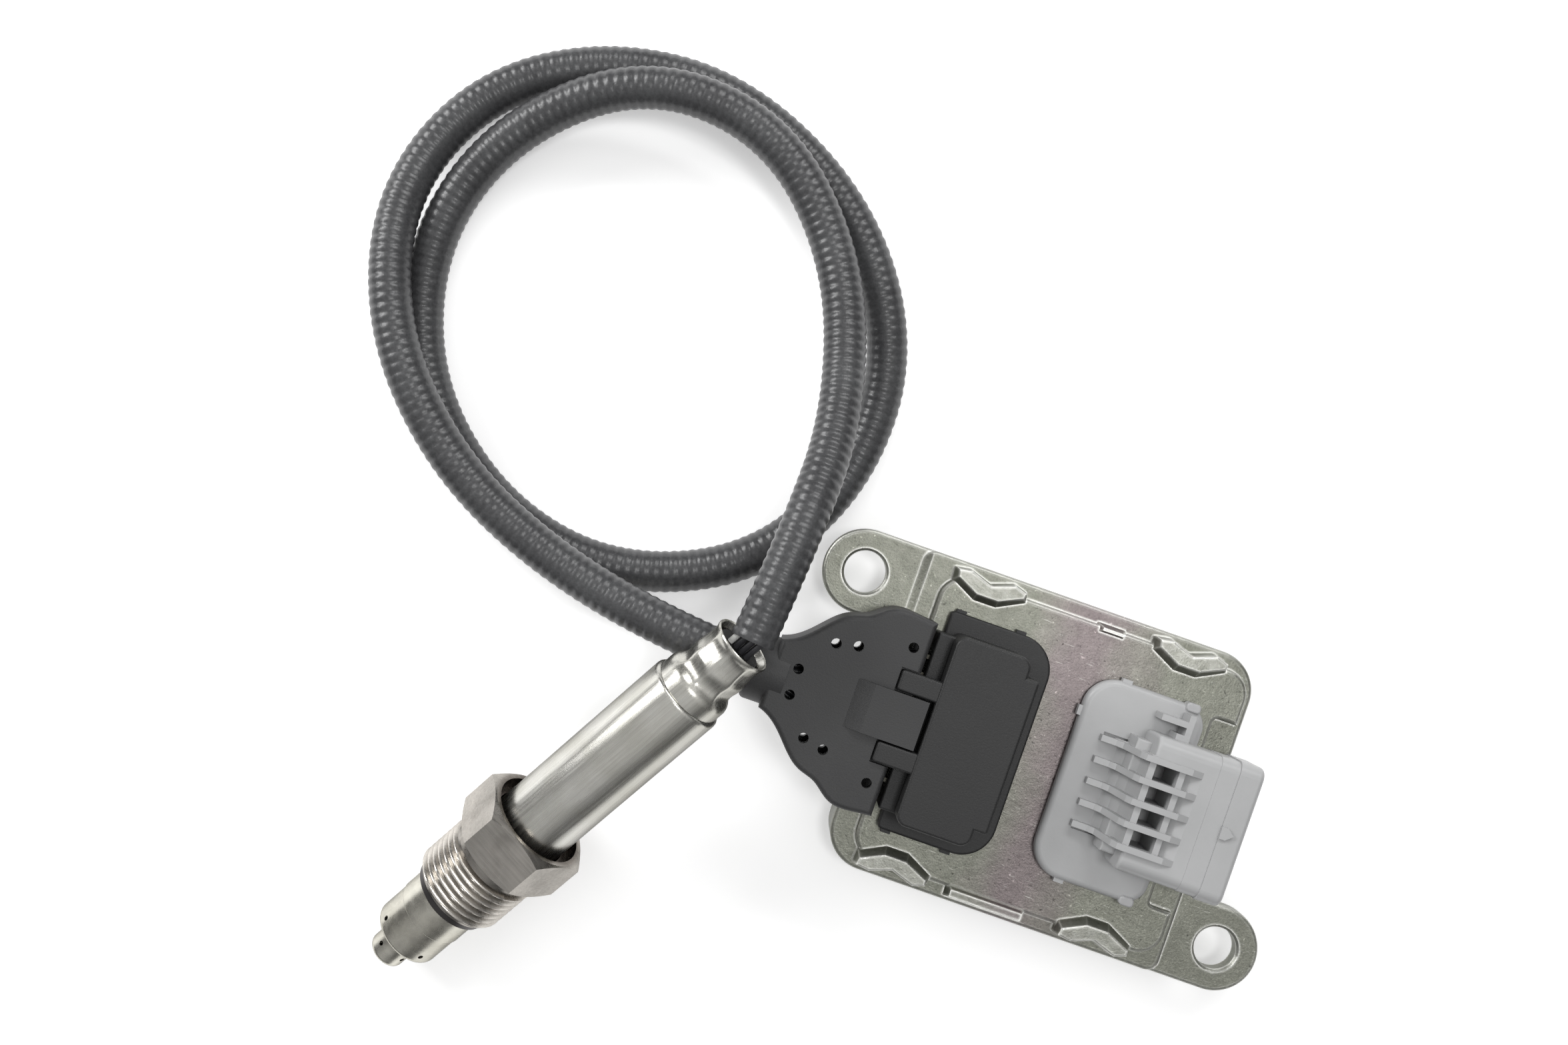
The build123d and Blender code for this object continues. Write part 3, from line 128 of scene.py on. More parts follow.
# The sleeve; places on its crimp are measured back from the sleeve's end
SLEEVE_FROM = 34.0
SLEEVE_END = 101.5
CRIMP_FROM = 0.7
CRIMP_TO = 10.5
CRIMP_RAMPS = (1.2, 1.0)
CRIMP_MIN_R = 5.6
CRIMP_SIDES = 8
CRIMP_TURN = 0.1
CRIMP_WEIGHT = 0.85
FLAT_FULLNESS = 1.03
BULGE_AT = 6.0
BULGE_WIDTH = 0.7
BULGE_SHARE = 0.6

# The finishes: how rough the steels are, and places and depths in metres
BRUSHED_ROUGH = 0.25
TURNED_ROUGH = 0.26
ROSY_SPAN = (-0.02, 0.05)
ROSY_DRIFT = 0.030
# Heights over which the casting's raised pads get a painted highlight
HIGHLIGHT_HEIGHTS = (0.0135, 0.0155)
WORN_AND_LIT_EDGE = 0.0008
WHITE_WIRE = -0.0014
# Reach and wander of the painted shade in the nut's seat recess round the sleeve
SEAT_SHADE_SPAN = (0.0099, 0.0124)
SEAT_SHADE_DRIFT = 0.0022
LINE_DEPTH = 0.000006


def probe_place():
    """The matrix from probe stations in millimetres to the table's metres."""
    joint = frame["record"]["behaviour"]["joints"][0]
    axis = Vector(joint["axis"]).normalized()
    nose = Vector(joint["pos_m"]) - axis * NUT_STATION * MM
    side = axis.cross(Vector((0, 0, 1))).normalized()
    turn = Matrix((side, axis.cross(side), axis)).transposed().to_4x4()
    return Matrix.Translation(nose) @ turn @ Matrix.Scale(MM, 4)


# Camera, light and table

def set_camera():
    lens = bpy.data.cameras.new("studio_camera")
    lens.sensor_width = SENSOR_MM
    lens.lens = LENS_MM
    lens.clip_start = 0.01
    camera = bpy.data.objects.new("studio_camera", lens)
    camera.location = CAMERA_PLACE
    camera.rotation_euler = (0, 0, CAMERA_TURN)
    bpy.context.scene.collection.objects.link(camera)
    bpy.context.scene.camera = camera


def add_softbox(name, place, width, height, watts):
    lamp = bpy.data.lights.new(name, "AREA")
    lamp.shape = "RECTANGLE"
    lamp.size = width
    lamp.size_y = height
    lamp.energy = watts
    box = bpy.data.objects.new(name, lamp)
    box.location = place
    box.rotation_euler = (Vector(LIGHT_AIM) - Vector(place)).to_track_quat("-Z", "Y").to_euler()
    bpy.context.scene.collection.objects.link(box)


def set_lights():
    add_softbox("left_softbox", (-0.80, 0.30, 0.42), 0.50, 0.22, 5.0)
    add_softbox("back_softbox", (0.05, 0.80, 0.60), 0.60, 0.20, 3.6)
    add_softbox("top_softbox", (0.10, 0.10, 0.90), 0.16, 0.16, 1.6)


def set_surroundings():
    """A room that brightens upwards for reflections, and a plain pale backdrop for the camera."""
    world = bpy.data.worlds.new("studio")
    world.use_nodes = True
    net = world.node_tree
    net.nodes.clear()
    way = net.nodes.new("ShaderNodeTexCoord")
    part = net.nodes.new("ShaderNodeSeparateXYZ")
    ramp = net.nodes.new("ShaderNodeValToRGB")
    glow = net.nodes.new("ShaderNodeBackground")
    plain = net.nodes.new("ShaderNodeBackground")
    seen = net.nodes.new("ShaderNodeLightPath")
    mix = net.nodes.new("ShaderNodeMixShader")
    out = net.nodes.new("ShaderNodeOutputWorld")
    ramp.color_ramp.elements[0].position = 0.0
    ramp.color_ramp.elements[0].color = (0.10, 0.10, 0.10, 1)
    ramp.color_ramp.elements[1].position = 1.0
    ramp.color_ramp.elements[1].color = (0.60, 0.60, 0.60, 1)
    for place, level in ((0.35, 0.14), (0.62, 0.42), (0.85, 0.66)):
        ramp.color_ramp.elements.new(place).color = (level, level, level, 1)
    plain.inputs["Color"].default_value = (0.98, 0.98, 0.98, 1)
    net.links.new(way.outputs["Generated"], part.inputs[0])
    net.links.new(part.outputs["Z"], ramp.inputs["Fac"])
    net.links.new(ramp.outputs["Color"], glow.inputs["Color"])
    net.links.new(seen.outputs["Is Camera Ray"], mix.inputs["Fac"])
    net.links.new(glow.outputs[0], mix.inputs[1])
    net.links.new(plain.outputs[0], mix.inputs[2])
    net.links.new(mix.outputs[0], out.inputs["Surface"])
    bpy.context.scene.world = world
    bpy.context.scene.view_settings.view_transform = "Standard"


# Finishes

class Finish:
    """A procedural material: a principled shader and the nodes that feed it, on object coordinates."""

    def __init__(self, name, rough, metal=0.0):
        self.material = bpy.data.materials.new(name)
        self.material.use_nodes = True
        self.net = self.material.node_tree
        self.shader = self.net.nodes["Principled BSDF"]
        self.shader.inputs["Roughness"].default_value = rough
        self.shader.inputs["Metallic"].default_value = metal
        self.place = self.net.nodes.new("ShaderNodeTexCoord").outputs["Object"]

    def add(self, kind, links=(), **values):
        """A node with its settings or sockets given values, and with sources linked in."""
        node = self.net.nodes.new(kind)
        for name, value in values.items():
            if hasattr(node, name):
                setattr(node, name, value)
            else:
                node.inputs[name.replace("_", " ")].default_value = value
        for socket, source in links:
            self.net.links.new(source, node.inputs[socket])
        return node

    def fill(self, socket, value):
        """A link to the socket, or a plain value in it."""
        if isinstance(value, bpy.types.NodeSocket):
            self.net.links.new(value, socket)
        else:
            socket.default_value = (*value, 1) if hasattr(value, "__len__") else value

    def reckon(self, how, *values):
        """One step of arithmetic on sources and plain numbers."""
        node = self.add("ShaderNodeMath", operation=how)
        for socket, value in zip(node.inputs, values):
            self.fill(socket, value)
        return node.outputs[0]

    def length(self, vector):
        return self.add("ShaderNodeVectorMath", [(0, vector)], operation="LENGTH").outputs["Value"]

    def split(self, vector):
        return self.add("ShaderNodeSeparateXYZ", [("Vector", vector)]).outputs

    def grain(self, scale, detail=4.0, rough=0.6, stretch=(1, 1, 1), turn=(0, 0, 0), start=None):
        """Noise from 0 to 1, whose scale is in lumps to the metre."""
        spot = self.add("ShaderNodeMapping", [("Vector", start or self.place)])
        spot.inputs["Scale"].default_value = stretch
        spot.inputs["Rotation"].default_value = turn
        lumps = self.add("ShaderNodeTexNoise", [("Vector", spot.outputs[0])],
                         Scale=scale, Detail=detail, Roughness=rough)
        return lumps.outputs["Fac"]

    def ramp(self, source, *stops):
        """Greys or colours from a source, by stops of a place from 0 to 1 and a level or colour."""
        node = self.add("ShaderNodeValToRGB", [("Fac", source)])
        bar = node.color_ramp
        while len(bar.elements) < len(stops):
            bar.elements.new(0.5)
        for element, (place, colour) in zip(bar.elements, stops):
            element.position = place
            element.color = (*colour, 1) if hasattr(colour, "__len__") else (colour, colour, colour, 1)
        return node.outputs["Color"]

    def blend(self, factor, one, two, how="MIX"):
        """Two colours mixed; the mix node's colour sockets are its seventh and eighth."""
        node = self.add("ShaderNodeMix", data_type="RGBA", blend_type=how)
        for place, value in ((0, factor), (6, one), (7, two)):
            self.fill(node.inputs[place], value)
        return node.outputs[2]

    def multiply(self, one, two):
        return self.blend(1.0, one, two, "MULTIPLY")

    def remap(self, source, low, high, within=(0.0, 1.0)):
        """What the source holds within two limits, stretched to run from low to high."""
        node = self.add("ShaderNodeMapRange", [("Value", source)])
        node.inputs["From Min"].default_value = within[0]
        node.inputs["From Max"].default_value = within[1]
        node.inputs["To Min"].default_value = low
        node.inputs["To Max"].default_value = high
        return node.outputs[0]

    def dim_rim(self, level):
        """Metal that reflects less where it is seen edge on."""
        self.shader.inputs["Specular Tint"].default_value = (level, level, level, 1)

    def paint(self, colour=None, rough=None):
        if colour is not None:
            self.net.links.new(colour, self.shader.inputs["Base Color"])
        if rough is not None:
            self.net.links.new(rough, self.shader.inputs["Roughness"])

    def bumps(self, *heights):
        """Bump from pairs of a height source and its depth in metres."""
        last = None
        for source, depth in heights:
            node = self.add("ShaderNodeBump", [("Height", source)], Strength=1.0, Distance=depth)
            if last is not None:
                self.net.links.new(last, node.inputs["Normal"])
            last = node.outputs[0]
        self.net.links.new(last, self.shader.inputs["Normal"])


def add_edge_mask(f, radius):
    """White along outer and inner edges, black on flat faces."""
    soft = f.add("ShaderNodeBevel", samples=4, Radius=radius)
    flat = f.add("ShaderNodeNewGeometry")
    match = f.add("ShaderNodeVectorMath", [(0, soft.outputs[0]), (1, flat.outputs["Normal"])],
                  operation="DOT_PRODUCT")
    return f.ramp(match.outputs["Value"], (0.92, 1.0), (0.997, 0.0))


def cast_alloy():
    """Tumbled alloy casting: olive grey, rosy between the connectors, with scratches, a painted
    highlight on the raised pads' tops, and edges lightened partly by wear and partly as a painted
    highlight.
    """
    f = Finish("cast_alloy", 0.40, 0.85)
    broad = f.grain(45, 4)
    fine = f.grain(2600, 3, 0.7)
    mid = f.grain(420, 4, 0.65)
    specks = f.grain(1100, 2, 0.5)
    spot = f.split(f.place)
    across = f.remap(f.reckon("MULTIPLY_ADD", broad, ROSY_DRIFT, spot["X"]), 0.0, 1.0, ROSY_SPAN)
    rosy = f.ramp(across, (0.36, 0.0), (0.52, 0.85), (0.60, 0.85), (0.78, 0.0))
    olive = f.ramp(mid, (0.25, (0.178, 0.182, 0.152)), (0.75, (0.246, 0.250, 0.213)))
    pink = f.ramp(mid, (0.25, (0.165, 0.136, 0.141)), (0.75, (0.222, 0.186, 0.190)))
    tone = f.blend(rosy, olive, pink)
    grit = f.ramp(fine, (0.30, 0.74), (0.70, 1.20))
    pits = f.ramp(specks, (0.26, 0.50), (0.34, 1.0), (0.70, 1.0), (0.76, 2.0))
    colour = f.multiply(f.multiply(tone, grit), pits)
    for turn, scale in ((0.9, 330), (-0.35, 270), (2.2, 410)):
        marks = f.ramp(f.grain(scale, 2, 0.4, (1, 11, 1), (0, 0, turn)), (0.725, 0.0), (0.77, 0.42))
        colour = f.blend(marks, colour, (0.58, 0.58, 0.54))
    # Painted highlight: the raised pads' tops are lightened by height, mottled by the mid grain
    painted_crest_highlight = f.multiply(f.remap(spot["Z"], 0.0, 1.0, HIGHLIGHT_HEIGHTS),
                        f.ramp(mid, (0.3, 0.15), (0.7, 0.70)))
    colour = f.blend(painted_crest_highlight, colour, (0.42, 0.42, 0.39))
    colour = f.multiply(colour, f.ramp(broad, (0.35, 0.90), (0.65, 1.12)))
    # Edges lightened: partly wear, partly a painted highlight along the edges
    colour = f.blend(add_edge_mask(f, WORN_AND_LIT_EDGE), colour, (0.88, 0.88, 0.84))
    f.paint(colour, f.remap(fine, 0.30, 0.50))
    f.bumps((mid, 0.00006), (fine, 0.00005), (specks, 0.00003))
    return f.material


def black_mould(name, level, rough):
    """Glass-filled black plastic with a fine spark grain."""
    f = Finish(name, rough)
    broad = f.grain(35, 3)
    fine = f.grain(3200, 2, 0.6)
    shade = f.ramp(broad, (0.3, (level * 0.85, level * 0.85, level * 0.88)),
                   (0.7, (level * 1.2, level * 1.2, level * 1.22)))
    f.paint(f.multiply(shade, f.ramp(fine, (0.3, 0.8), (0.7, 1.15))),
            f.remap(fine, rough - 0.08, rough + 0.1))
    f.bumps((fine, 0.00003))
    return f.material


def grey_mould():
    """Smooth pale grey plastic with a slight flow mottle."""
    f = Finish("grey_mould", 0.36)
    broad = f.grain(60, 4)
    fine = f.grain(2200, 2)
    colour = f.ramp(broad, (0.3, (0.365, 0.368, 0.370)), (0.7, (0.415, 0.417, 0.420)))
    f.paint(colour, f.remap(fine, 0.32, 0.46))
    f.bumps((fine, 0.000012))
    return f.material


def hose_skin():
    """Dark ribbed armour with a soft shine and a woven speckle."""
    f = Finish("hose_skin", 0.30)
    broad = f.grain(90, 3)
    fine = f.grain(1500, 3, 0.7)
    colour = f.ramp(broad, (0.3, (0.040, 0.040, 0.042)), (0.7, (0.064, 0.065, 0.067)))
    f.paint(f.multiply(colour, f.ramp(fine, (0.3, 0.75), (0.7, 1.25))), f.remap(fine, 0.24, 0.40))
    f.bumps((fine, 0.00004))
    return f.material


def wire_skins(place):
    """Dark wire skins, with the outermost wire of one row in white."""
    f = Finish("wire_skins", 0.4)
    spot = f.split(probe_frame(f, place))
    outermost = f.reckon("LESS_THAN", spot["X"], WHITE_WIRE)
    in_row = f.reckon("LESS_THAN", spot["Y"], 0)
    white = f.reckon("MULTIPLY", outermost, in_row)
    f.paint(f.blend(white, (0.03, 0.03, 0.034), (0.75, 0.75, 0.72)))
    return f.material


def probe_frame(f, place):
    """Object coordinates from the probe's nose, turned so that Z runs along the probe."""
    turn = place.to_3x3().normalized().transposed().to_euler()
    spot = f.add("ShaderNodeMapping", [("Vector", f.place)])
    spot.inputs["Rotation"].default_value = turn
    spot.inputs["Location"].default_value = -(turn.to_matrix() @ place.translation)
    return spot.outputs[0]


def add_brush_lines(f, along, tints, rough, stretch, scale):
    """Roughness and bumps from lines in the probe's own frame; gives back the steel tone to paint."""
    lines = f.grain(scale, 3, 0.65, stretch, start=along)
    cloud = f.grain(110, 3, 0.5, start=along)
    tone = f.ramp(cloud, (0.35, tints[0]), (0.65, tints[1]))
    f.paint(rough=f.remap(lines, rough - 0.06, rough + 0.10))
    f.bumps((lines, LINE_DEPTH))
    return f.multiply(tone, f.ramp(lines, (0.3, 0.86), (0.7, 1.06)))


def brushed(name, place, tints, rim, stretch=(1, 1, 0.03), scale=2500):
    """Steel with fine brush lines; stretch sets the way that the lines run in the probe's own frame."""
    f = Finish(name, BRUSHED_ROUGH, 1.0)
    f.dim_rim(rim)
    f.paint(add_brush_lines(f, probe_frame(f, place), tints, BRUSHED_ROUGH, stretch, scale))
    return f.material


def turned_nut(place):
    """Turned steel, with painted shade in the thread roots, lighter thread crests, and painted shade in
    the seat recess round the sleeve.
    """
    f = Finish("turned_nut", TURNED_ROUGH, 1.0)
    f.dim_rim(0.55)
    along = probe_frame(f, place)
    tints = ((0.40, 0.38, 0.35), (0.54, 0.51, 0.47))
    tone = add_brush_lines(f, along, tints, TURNED_ROUGH, (0.04, 1, 1), 1800)
    spot = f.split(along)
    flat = f.add("ShaderNodeCombineXYZ", [("X", spot["X"]), ("Y", spot["Y"])])
    reach = f.length(flat.outputs[0])
    # Painted shade: the seat recess round the sleeve and its mouth are darkened on the hexagon's rear
    # face
    seat_shade_reach = f.reckon("MULTIPLY_ADD", f.grain(160, 3, start=along), SEAT_SHADE_DRIFT, reach)
    seat = f.remap(seat_shade_reach, 0.0, 1.0, SEAT_SHADE_SPAN)
    # Painted shade: darker towards the thread roots and undercut, lighter towards the crests
    height = f.remap(reach, 0.0, 1.0, (ROOT_R * MM, THREAD_R * MM))
    painted_seat_shade = f.ramp(seat, (0.0, (0.20, 0.185, 0.18)), (0.5, (0.46, 0.44, 0.43)), (1.0, (1, 1, 1)))
    root_shaded = f.multiply(tone, f.ramp(height, (0.0, 0.76), (0.7, 1.32)))
    on_hexagon = f.reckon("GREATER_THAN", spot["Z"], HEX_FROM * MM)
    f.paint(f.blend(on_hexagon, root_shaded, f.multiply(tone, painted_seat_shade)))
    return f.material


def plain_metal(name, colour, rough):
    f = Finish(name, rough, 1.0)
    fine = f.grain(1400, 3)
    cloud = f.grain(150, 3)
    darker = tuple(0.8 * c for c in colour)
    f.paint(f.ramp(cloud, (0.3, darker), (0.7, colour)), f.remap(fine, rough - 0.05, rough + 0.08))
    f.bumps((fine, 0.000008))
    return f.material


def plain_skin(name, colour, rough):
    f = Finish(name, rough)
    fine = f.grain(900, 3)
    darker = tuple(0.85 * c for c in colour)
    f.paint(f.ramp(fine, (0.3, darker), (0.7, colour)), f.remap(fine, rough - 0.05, rough + 0.08))
    f.bumps((fine, 0.00001))
    return f.material


# Pieces

def finish_piece(shape, name, body, replaced, finish, sharp):
    """A piece from a bmesh, on its body and in its node's place, crisp at edges over sharp degrees."""
    bmesh.ops.remove_doubles(shape, verts=shape.verts[:], dist=WELD)
    bmesh.ops.recalc_face_normals(shape, faces=shape.faces[:])
    mesh = bpy.data.meshes.new(name)
    shape.to_mesh(mesh)
    shape.free()
    mesh.materials.append(finish)
    mesh.shade_smooth()
    mesh.set_sharp_from_angle(angle=math.radians(sharp))
    piece = bpy.data.objects.new(name, mesh)
    bpy.context.scene.collection.objects.link(piece)
    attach(piece, body)
    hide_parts(replaced)
    return piece


def spline_points(route):
    """Points along the route's NURBS spline."""
    curve = bpy.data.curves.new("hose_line", "CURVE")
    curve.dimensions = "3D"
    spline = curve.splines.new("NURBS")
    spline.points.add(len(route) - 1)
    for point, spot in zip(spline.points, route):
        point.co = (*spot, 1)
    spline.order_u = 3
    spline.use_endpoint_u = True
    spline.resolution_u = SPLINE_STEPS
    line = bpy.data.objects.new("hose_line", curve)
    bpy.context.scene.collection.objects.link(line)
    bpy.context.view_layer.update()
    mesh = bpy.data.meshes.new_from_object(line)
    points = [vert.co.copy() for vert in mesh.vertices]
    bpy.data.objects.remove(line)
    bpy.data.curves.remove(curve)
    bpy.data.meshes.remove(mesh)
    return points


def even_steps(points, step):
    """The line cut into equal steps, with its whole length."""
    reach = [0.0]
    for one, two in zip(points, points[1:]):
        reach.append(reach[-1] + (two - one).length)
    count = round(reach[-1] / step)
    found, at = [], 0
    for i in range(count + 1):
        goal = reach[-1] * i / count
        while at < len(points) - 2 and reach[at + 1] < goal:
            at += 1
        share = (goal - reach[at]) / (reach[at + 1] - reach[at])
        found.append(points[at].lerp(points[at + 1], share))
    return found, reach[-1]


def make_hose(finish):
    """The ribbed hose: a straight grid rolled round the line, a rib each pitch, closed at both ends."""
    line, length = even_steps(spline_points(HOSE_ROUTE), RIB_PITCH / RIB_STEPS)
    ways = [(b - a).normalized() for a, b in zip(line, line[1:])]
    ways.append(ways[-1])
    side = Vector((0, 1, 0))
    frames = []
    for way in ways:
        side = (side - way * side.dot(way)).normalized()
        frames.append((side.copy(), way.cross(side)))
    shape = bmesh.new()
    rings = len(line) - 1
    bmesh.ops.create_grid(shape, x_segments=HOSE_SIDES, y_segments=rings, size=0.5)
    for vert in shape.verts:
        ring = round((vert.co.y + 0.5) * rings)
        angle = (vert.co.x + 0.5) * math.tau
        swell = 0.5 - 0.5 * math.cos(math.tau * ring / RIB_STEPS)
        r = HOSE_D / 2 - RIB_DEPTH * (1 - swell ** RIB_FULLNESS)
        across, up = frames[ring]
        vert.co = line[ring] + (across * math.cos(angle) + up * math.sin(angle)) * r
    bmesh.ops.remove_doubles(shape, verts=shape.verts[:], dist=WELD)
    open_edges = [edge for edge in shape.edges if edge.is_boundary]
    caps = bmesh.ops.holes_fill(shape, edges=open_edges, sides=0)["faces"]
    end = max(caps, key=lambda face: face.calc_center_median().z)
    bmesh.ops.inset_region(shape, faces=[end], thickness=HOSE_WALL, use_even_offset=True)
    bmesh.ops.translate(shape, verts=end.verts, vec=ways[-1] * -HOSE_MOUTH)
    hose = finish_piece(shape, "armoured_hose", "unit", "hose", finish, 60)


def draw_outline(outline):
    """A closed outline of (radius, station) pairs, ready to be turned round the probe's axis."""
    shape = bmesh.new()
    verts = [shape.verts.new((r, 0, z)) for r, z in outline]
    edges = [shape.edges.new((verts[i - 1], verts[i])) for i in range(len(verts))]
    return shape, edges


def turn_once(shape):
    bmesh.ops.spin(shape, geom=shape.verts[:] + shape.edges[:], cent=(0, 0, 0), axis=(0, 0, 1),
                   dvec=(0, 0, 0), angle=math.tau, steps=SPIN_STEPS, use_merge=True,
                   use_duplicate=False)
    bmesh.ops.remove_doubles(shape, verts=shape.verts[:], dist=SPIN_WELD)
    bmesh.ops.recalc_face_normals(shape, faces=shape.faces[:])


def cut_thread(shape):
    """Rolls the turned cylinder's points down to a helical thread with a tapered start."""
    for vert in shape.verts:
        r = math.hypot(vert.co.x, vert.co.y)
        if abs(r - THREAD_R) < CLOSE and vert.co.z < THREAD_TO + CLOSE:
            phase = vert.co.z / THREAD_PITCH - math.atan2(vert.co.y, vert.co.x) / math.tau
            crest = (0.5 + 0.5 * math.cos(math.tau * phase)) ** CREST_FULLNESS
            cut = THREAD_R - THREAD_DEPTH * (1 - crest)
            wide = min(cut, ROOT_R + (vert.co.z - THREAD_FROM) * LEAD_SLOPE)
            vert.co.x *= wide / r
            vert.co.y *= wide / r


def is_crisp(edge):
    """True for the hexagon's outer edges, which are rounded."""
    if len(edge.link_faces) != 2 or edge.verts[0].co.z <= CRISP_FROM:
        return False
    reach = min(math.hypot(vert.co.x, vert.co.y) for vert in edge.verts)
    return reach > CRISP_MIN_R and edge.calc_face_angle() > CRISP_ANGLE


def cut_hexagon(shape):
    """Cuts six flats, closes each cut, and rounds the outer edges."""
    for k in range(6):
        angle = math.radians(HEX_TURN + 60 * k)
        flat = Vector((math.cos(angle), math.sin(angle), 0))
        cut = bmesh.ops.bisect_plane(shape, geom=shape.verts[:] + shape.edges[:] + shape.faces[:],
                                     plane_co=flat * HEX_HALF_FLATS, plane_no=flat, clear_outer=True)
        rim = [item for item in cut["geom_cut"] if isinstance(item, bmesh.types.BMEdge)]
        bmesh.ops.edgeloop_fill(shape, edges=rim)
    crisp = [edge for edge in shape.edges if is_crisp(edge)]
    bmesh.ops.bevel(shape, geom=crisp, offset=CORNER_ROUND, offset_type="OFFSET", segments=2,
                    profile=0.5, affect="EDGES", material=-1, clamp_overlap=True)


def make_nut(place, finish):
    """The union nut: a real thread, an undercut, and a hexagon with its corners turned off."""
    shape, edges = draw_outline([
        (BORE_R, THREAD_FROM), (ROOT_R, THREAD_FROM),
        (THREAD_R, THREAD_FROM + LEAD_LENGTH), (THREAD_R, THREAD_TO),
        (UNDERCUT_R, THREAD_TO + UNDERCUT_RAMP), (UNDERCUT_R, HEX_FROM),
        (HEX_FACE_R, HEX_FROM), (HEX_CORNER_R, HEX_FROM + HEX_CHAMFER),
        (HEX_CORNER_R, HEX_TO - HEX_CHAMFER), (HEX_FACE_R, HEX_TO),
        (SEAT_MOUTH_R, HEX_TO), (SEAT_FLOOR_R, HEX_TO - SEAT_DEPTH), (BORE_R, HEX_TO - SEAT_DEPTH),
    ])
    threaded = [edge for edge in edges if all(abs(vert.co.x - THREAD_R) < CLOSE for vert in edge.verts)]
    bmesh.ops.subdivide_edges(shape, edges=threaded, cuts=THREAD_CUTS)
    turn_once(shape)
    cut_thread(shape)
    cut_hexagon(shape)
    bmesh.ops.transform(shape, matrix=place, verts=shape.verts[:])
    finish_piece(shape, "union_nut", "nut", "swivel_nut", finish, 28)


def press_crimp(shape):
    """Presses flats into the sleeve's end, fading out at both ends of the crimp and over its bulge."""
    half_side = math.pi / CRIMP_SIDES
    for vert in shape.verts:
        r = math.hypot(vert.co.x, vert.co.y)
        back = SLEEVE_END - vert.co.z
        if r < CRIMP_MIN_R or not CRIMP_FROM < back < CRIMP_TO:
            continue
        near = min(1.0, (back - CRIMP_FROM) / CRIMP_RAMPS[0], (CRIMP_TO - back) / CRIMP_RAMPS[1])
        weight = near * (1.0 - BULGE_SHARE * math.exp(-((back - BULGE_AT) / BULGE_WIDTH) ** 2))
        swing = (math.atan2(vert.co.y, vert.co.x) + CRIMP_TURN) % (2 * half_side) - half_side
        flat = math.cos(half_side) / math.cos(swing)
        scale = 1 + CRIMP_WEIGHT * weight * (flat * FLAT_FULLNESS - 1)
        vert.co.x *= scale
        vert.co.y *= scale


def make_sleeve(place, finish):
    """The probe's sleeve: plain tube, rolled collar, and a crimp of flats either side of a bulge."""
    shoulder = [(7.92, 14.8), (7.7, 14.5), (7.32, 14.38), (7.3, 14.2)]
    collar = [(7.3, 11.9), (7.12, 11.2), (6.75, 10.6), (6.3, 10.1), (5.98, 9.5)]
    crimp = [
        (5.85, 8.8), (5.9, 8.0), (6.05, 7.2), (6.15, 6.4), (6.1, 5.7), (5.95, 5.0), (5.82, 4.2),
        (5.74, 3.0), (5.72, 2.0),
    ]
    lip = [(5.9, 1.2), (6.1, 0.6), (6.12, 0.2), (6.0, 0), (5.75, 0.05), (5.5, 0.3), (5.3, 0.9)]
    inside = [(4.72, 1.6), (4.72, 9.0), (6.5, 12.7), (6.5, 14.4), (7.2, 16.0)]
    pressed = [(8.0, 15.2), *shoulder, *collar, *crimp, *lip, *inside]
    outline = [(r, SLEEVE_END - back) for r, back in pressed]
    shape, _ = draw_outline([(8.0, SLEEVE_FROM), *outline, (7.2, SLEEVE_FROM)])
    turn_once(shape)
    press_crimp(shape)
    bmesh.ops.transform(shape, matrix=place, verts=shape.verts[:])
    finish_piece(shape, "crimped_sleeve", "unit", "sensor_sleeve", finish, 40)


def dress_nodes(finishes, special):
    """Gives each node a special finish or else that of its slot."""
    slots = {part["node"]: part["material_slot"] for part in frame["record"]["subparts"]}
    for name, node in frame["nodes"].items():
        for slot in node.material_slots:
            slot.material = special.get(name) or finishes[slots[name]]


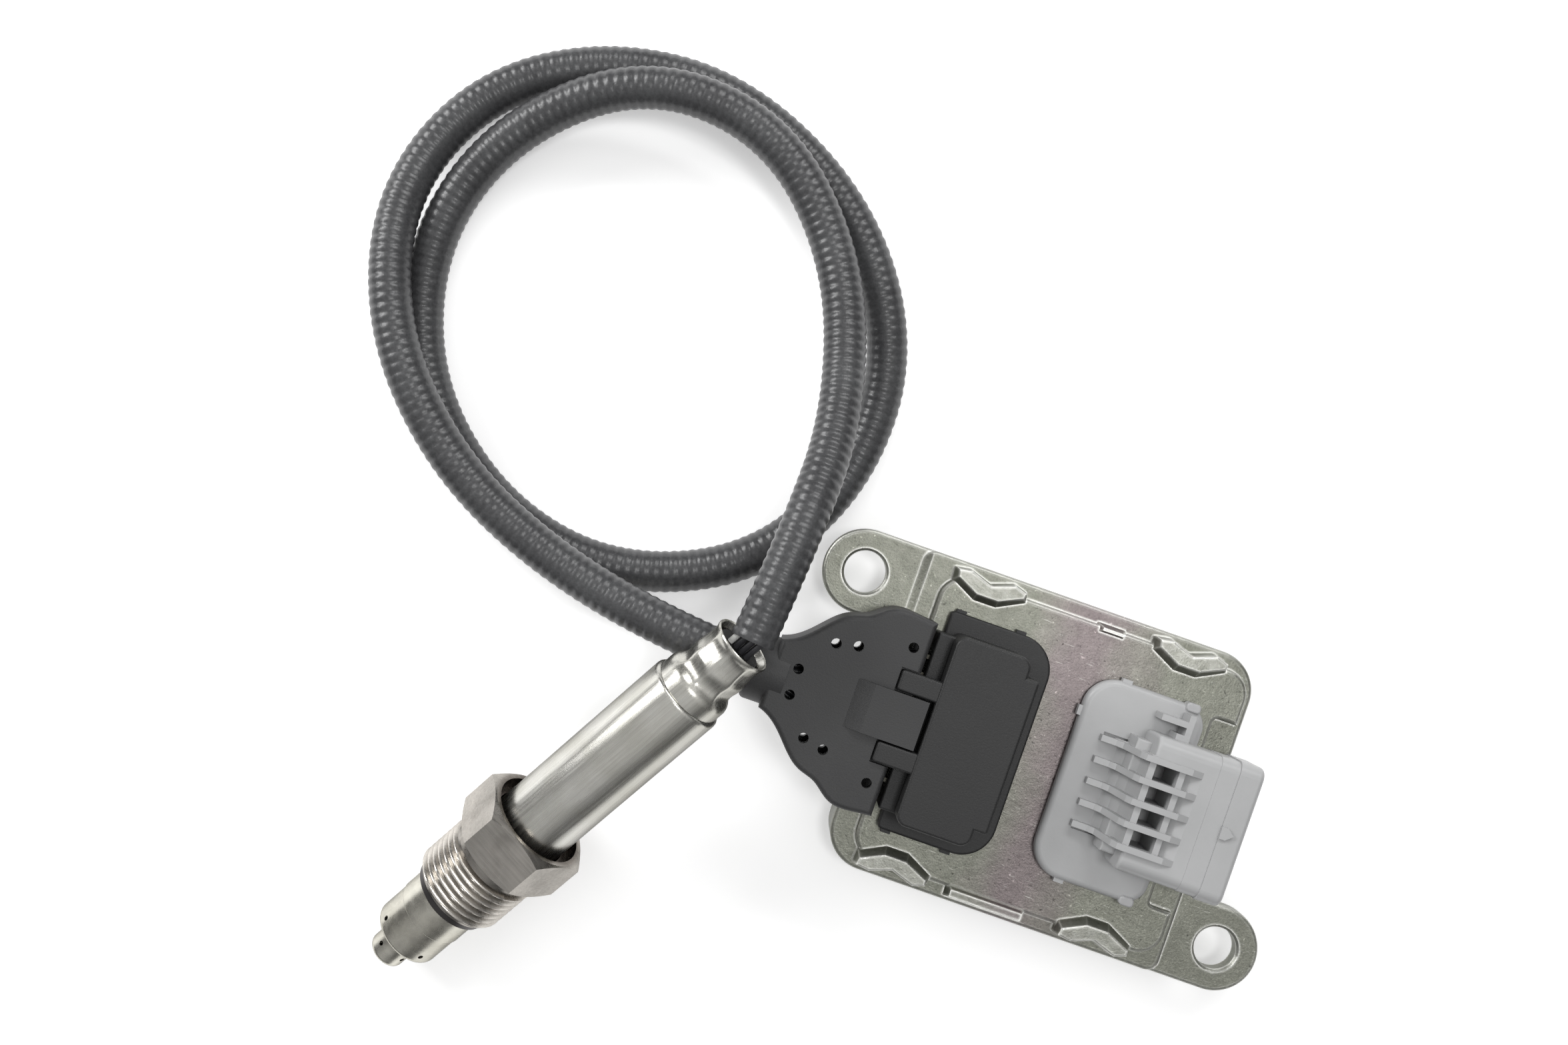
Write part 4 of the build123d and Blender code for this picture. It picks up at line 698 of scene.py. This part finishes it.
def lay_table():
    shape = bmesh.new()
    bmesh.ops.create_grid(shape, x_segments=2, y_segments=2, size=TABLE_SIZE)
    mesh = bpy.data.meshes.new("table")
    shape.to_mesh(mesh)
    shape.free()
    f = Finish("table_top", 0.7)
    f.paint(f.ramp(f.grain(6, 2), (0.3, 0.90), (0.7, 0.92)))
    # Painted light: the table glows, more strongly further out, so the floor reads white and lights the
    # parts from below
    f.shader.inputs["Emission Color"].default_value = (1, 1, 1, 1)
    glow = f.remap(f.length(f.place), *GLOW_LEVELS, GLOW_REACH)
    f.fill(f.shader.inputs["Emission Strength"], glow)
    mesh.materials.append(f.material)
    table = bpy.data.objects.new("table", mesh)
    mesh.transform(Matrix.Translation((0, 0, CAD_BOX[0][2] - TABLE_DROP)))
    bpy.context.scene.collection.objects.link(table)


PROBE = probe_place()
set_camera()
HOSE_FINISH = hose_skin()
make_hose(HOSE_FINISH)
set_lights()
set_surroundings()
lay_table()

FINISHES = {
    "casting": cast_alloy(),
    "cover_sheet": plain_metal("cover_sheet", (0.5, 0.5, 0.49), 0.35),
    "black_rubber": black_mould("black_rubber", 0.014, 0.6),
    "board": plain_skin("green_board", (0.02, 0.12, 0.05), 0.35),
    "bright_steel": plain_metal("bright_steel", (0.62, 0.61, 0.60), 0.25),
    "chip_case": black_mould("chip_case", 0.02, 0.45),
    "capacitor_case": plain_skin("capacitor_case", (0.42, 0.22, 0.04), 0.4),
    "black_plastic": black_mould("black_plastic", 0.011, 0.5),
    "boot_plastic": black_mould("boot_plastic", 0.028, 0.52),
    "grey_plastic": grey_mould(),
    "tinned_brass": plain_metal("tinned_brass", (0.30, 0.28, 0.22), 0.42),
    "wire_skin": wire_skins(PROBE),
    "hose_armour": HOSE_FINISH,
    "shield_steel": brushed("shield_steel", PROBE, ((0.60, 0.58, 0.51), (0.76, 0.74, 0.66)), 0.35,
                            (1, 1, 1), 500),
    "dark_steel": plain_metal("dark_steel", (0.10, 0.095, 0.095), 0.35),
    "turned_steel": turned_nut(PROBE),
    "sleeve_steel": brushed("sleeve_steel", PROBE, ((0.57, 0.56, 0.51), (0.68, 0.67, 0.63)), 0.33),
    "white_ceramic": plain_skin("white_ceramic", (0.72, 0.71, 0.68), 0.5),
    "talc": plain_skin("talc", (0.6, 0.59, 0.56), 0.7),
}
# Painted shade: the outlet pins get a darker, rougher copy of the tinned brass, as if in shadow
SHADED_PIN_FINISHES = {"outlet_pins": plain_metal("shaded_dull_tin", (0.10, 0.095, 0.08), 0.55)}
dress_nodes(FINISHES, SHADED_PIN_FINISHES)
make_nut(PROBE, FINISHES["turned_steel"])
make_sleeve(PROBE, FINISHES["sleeve_steel"])
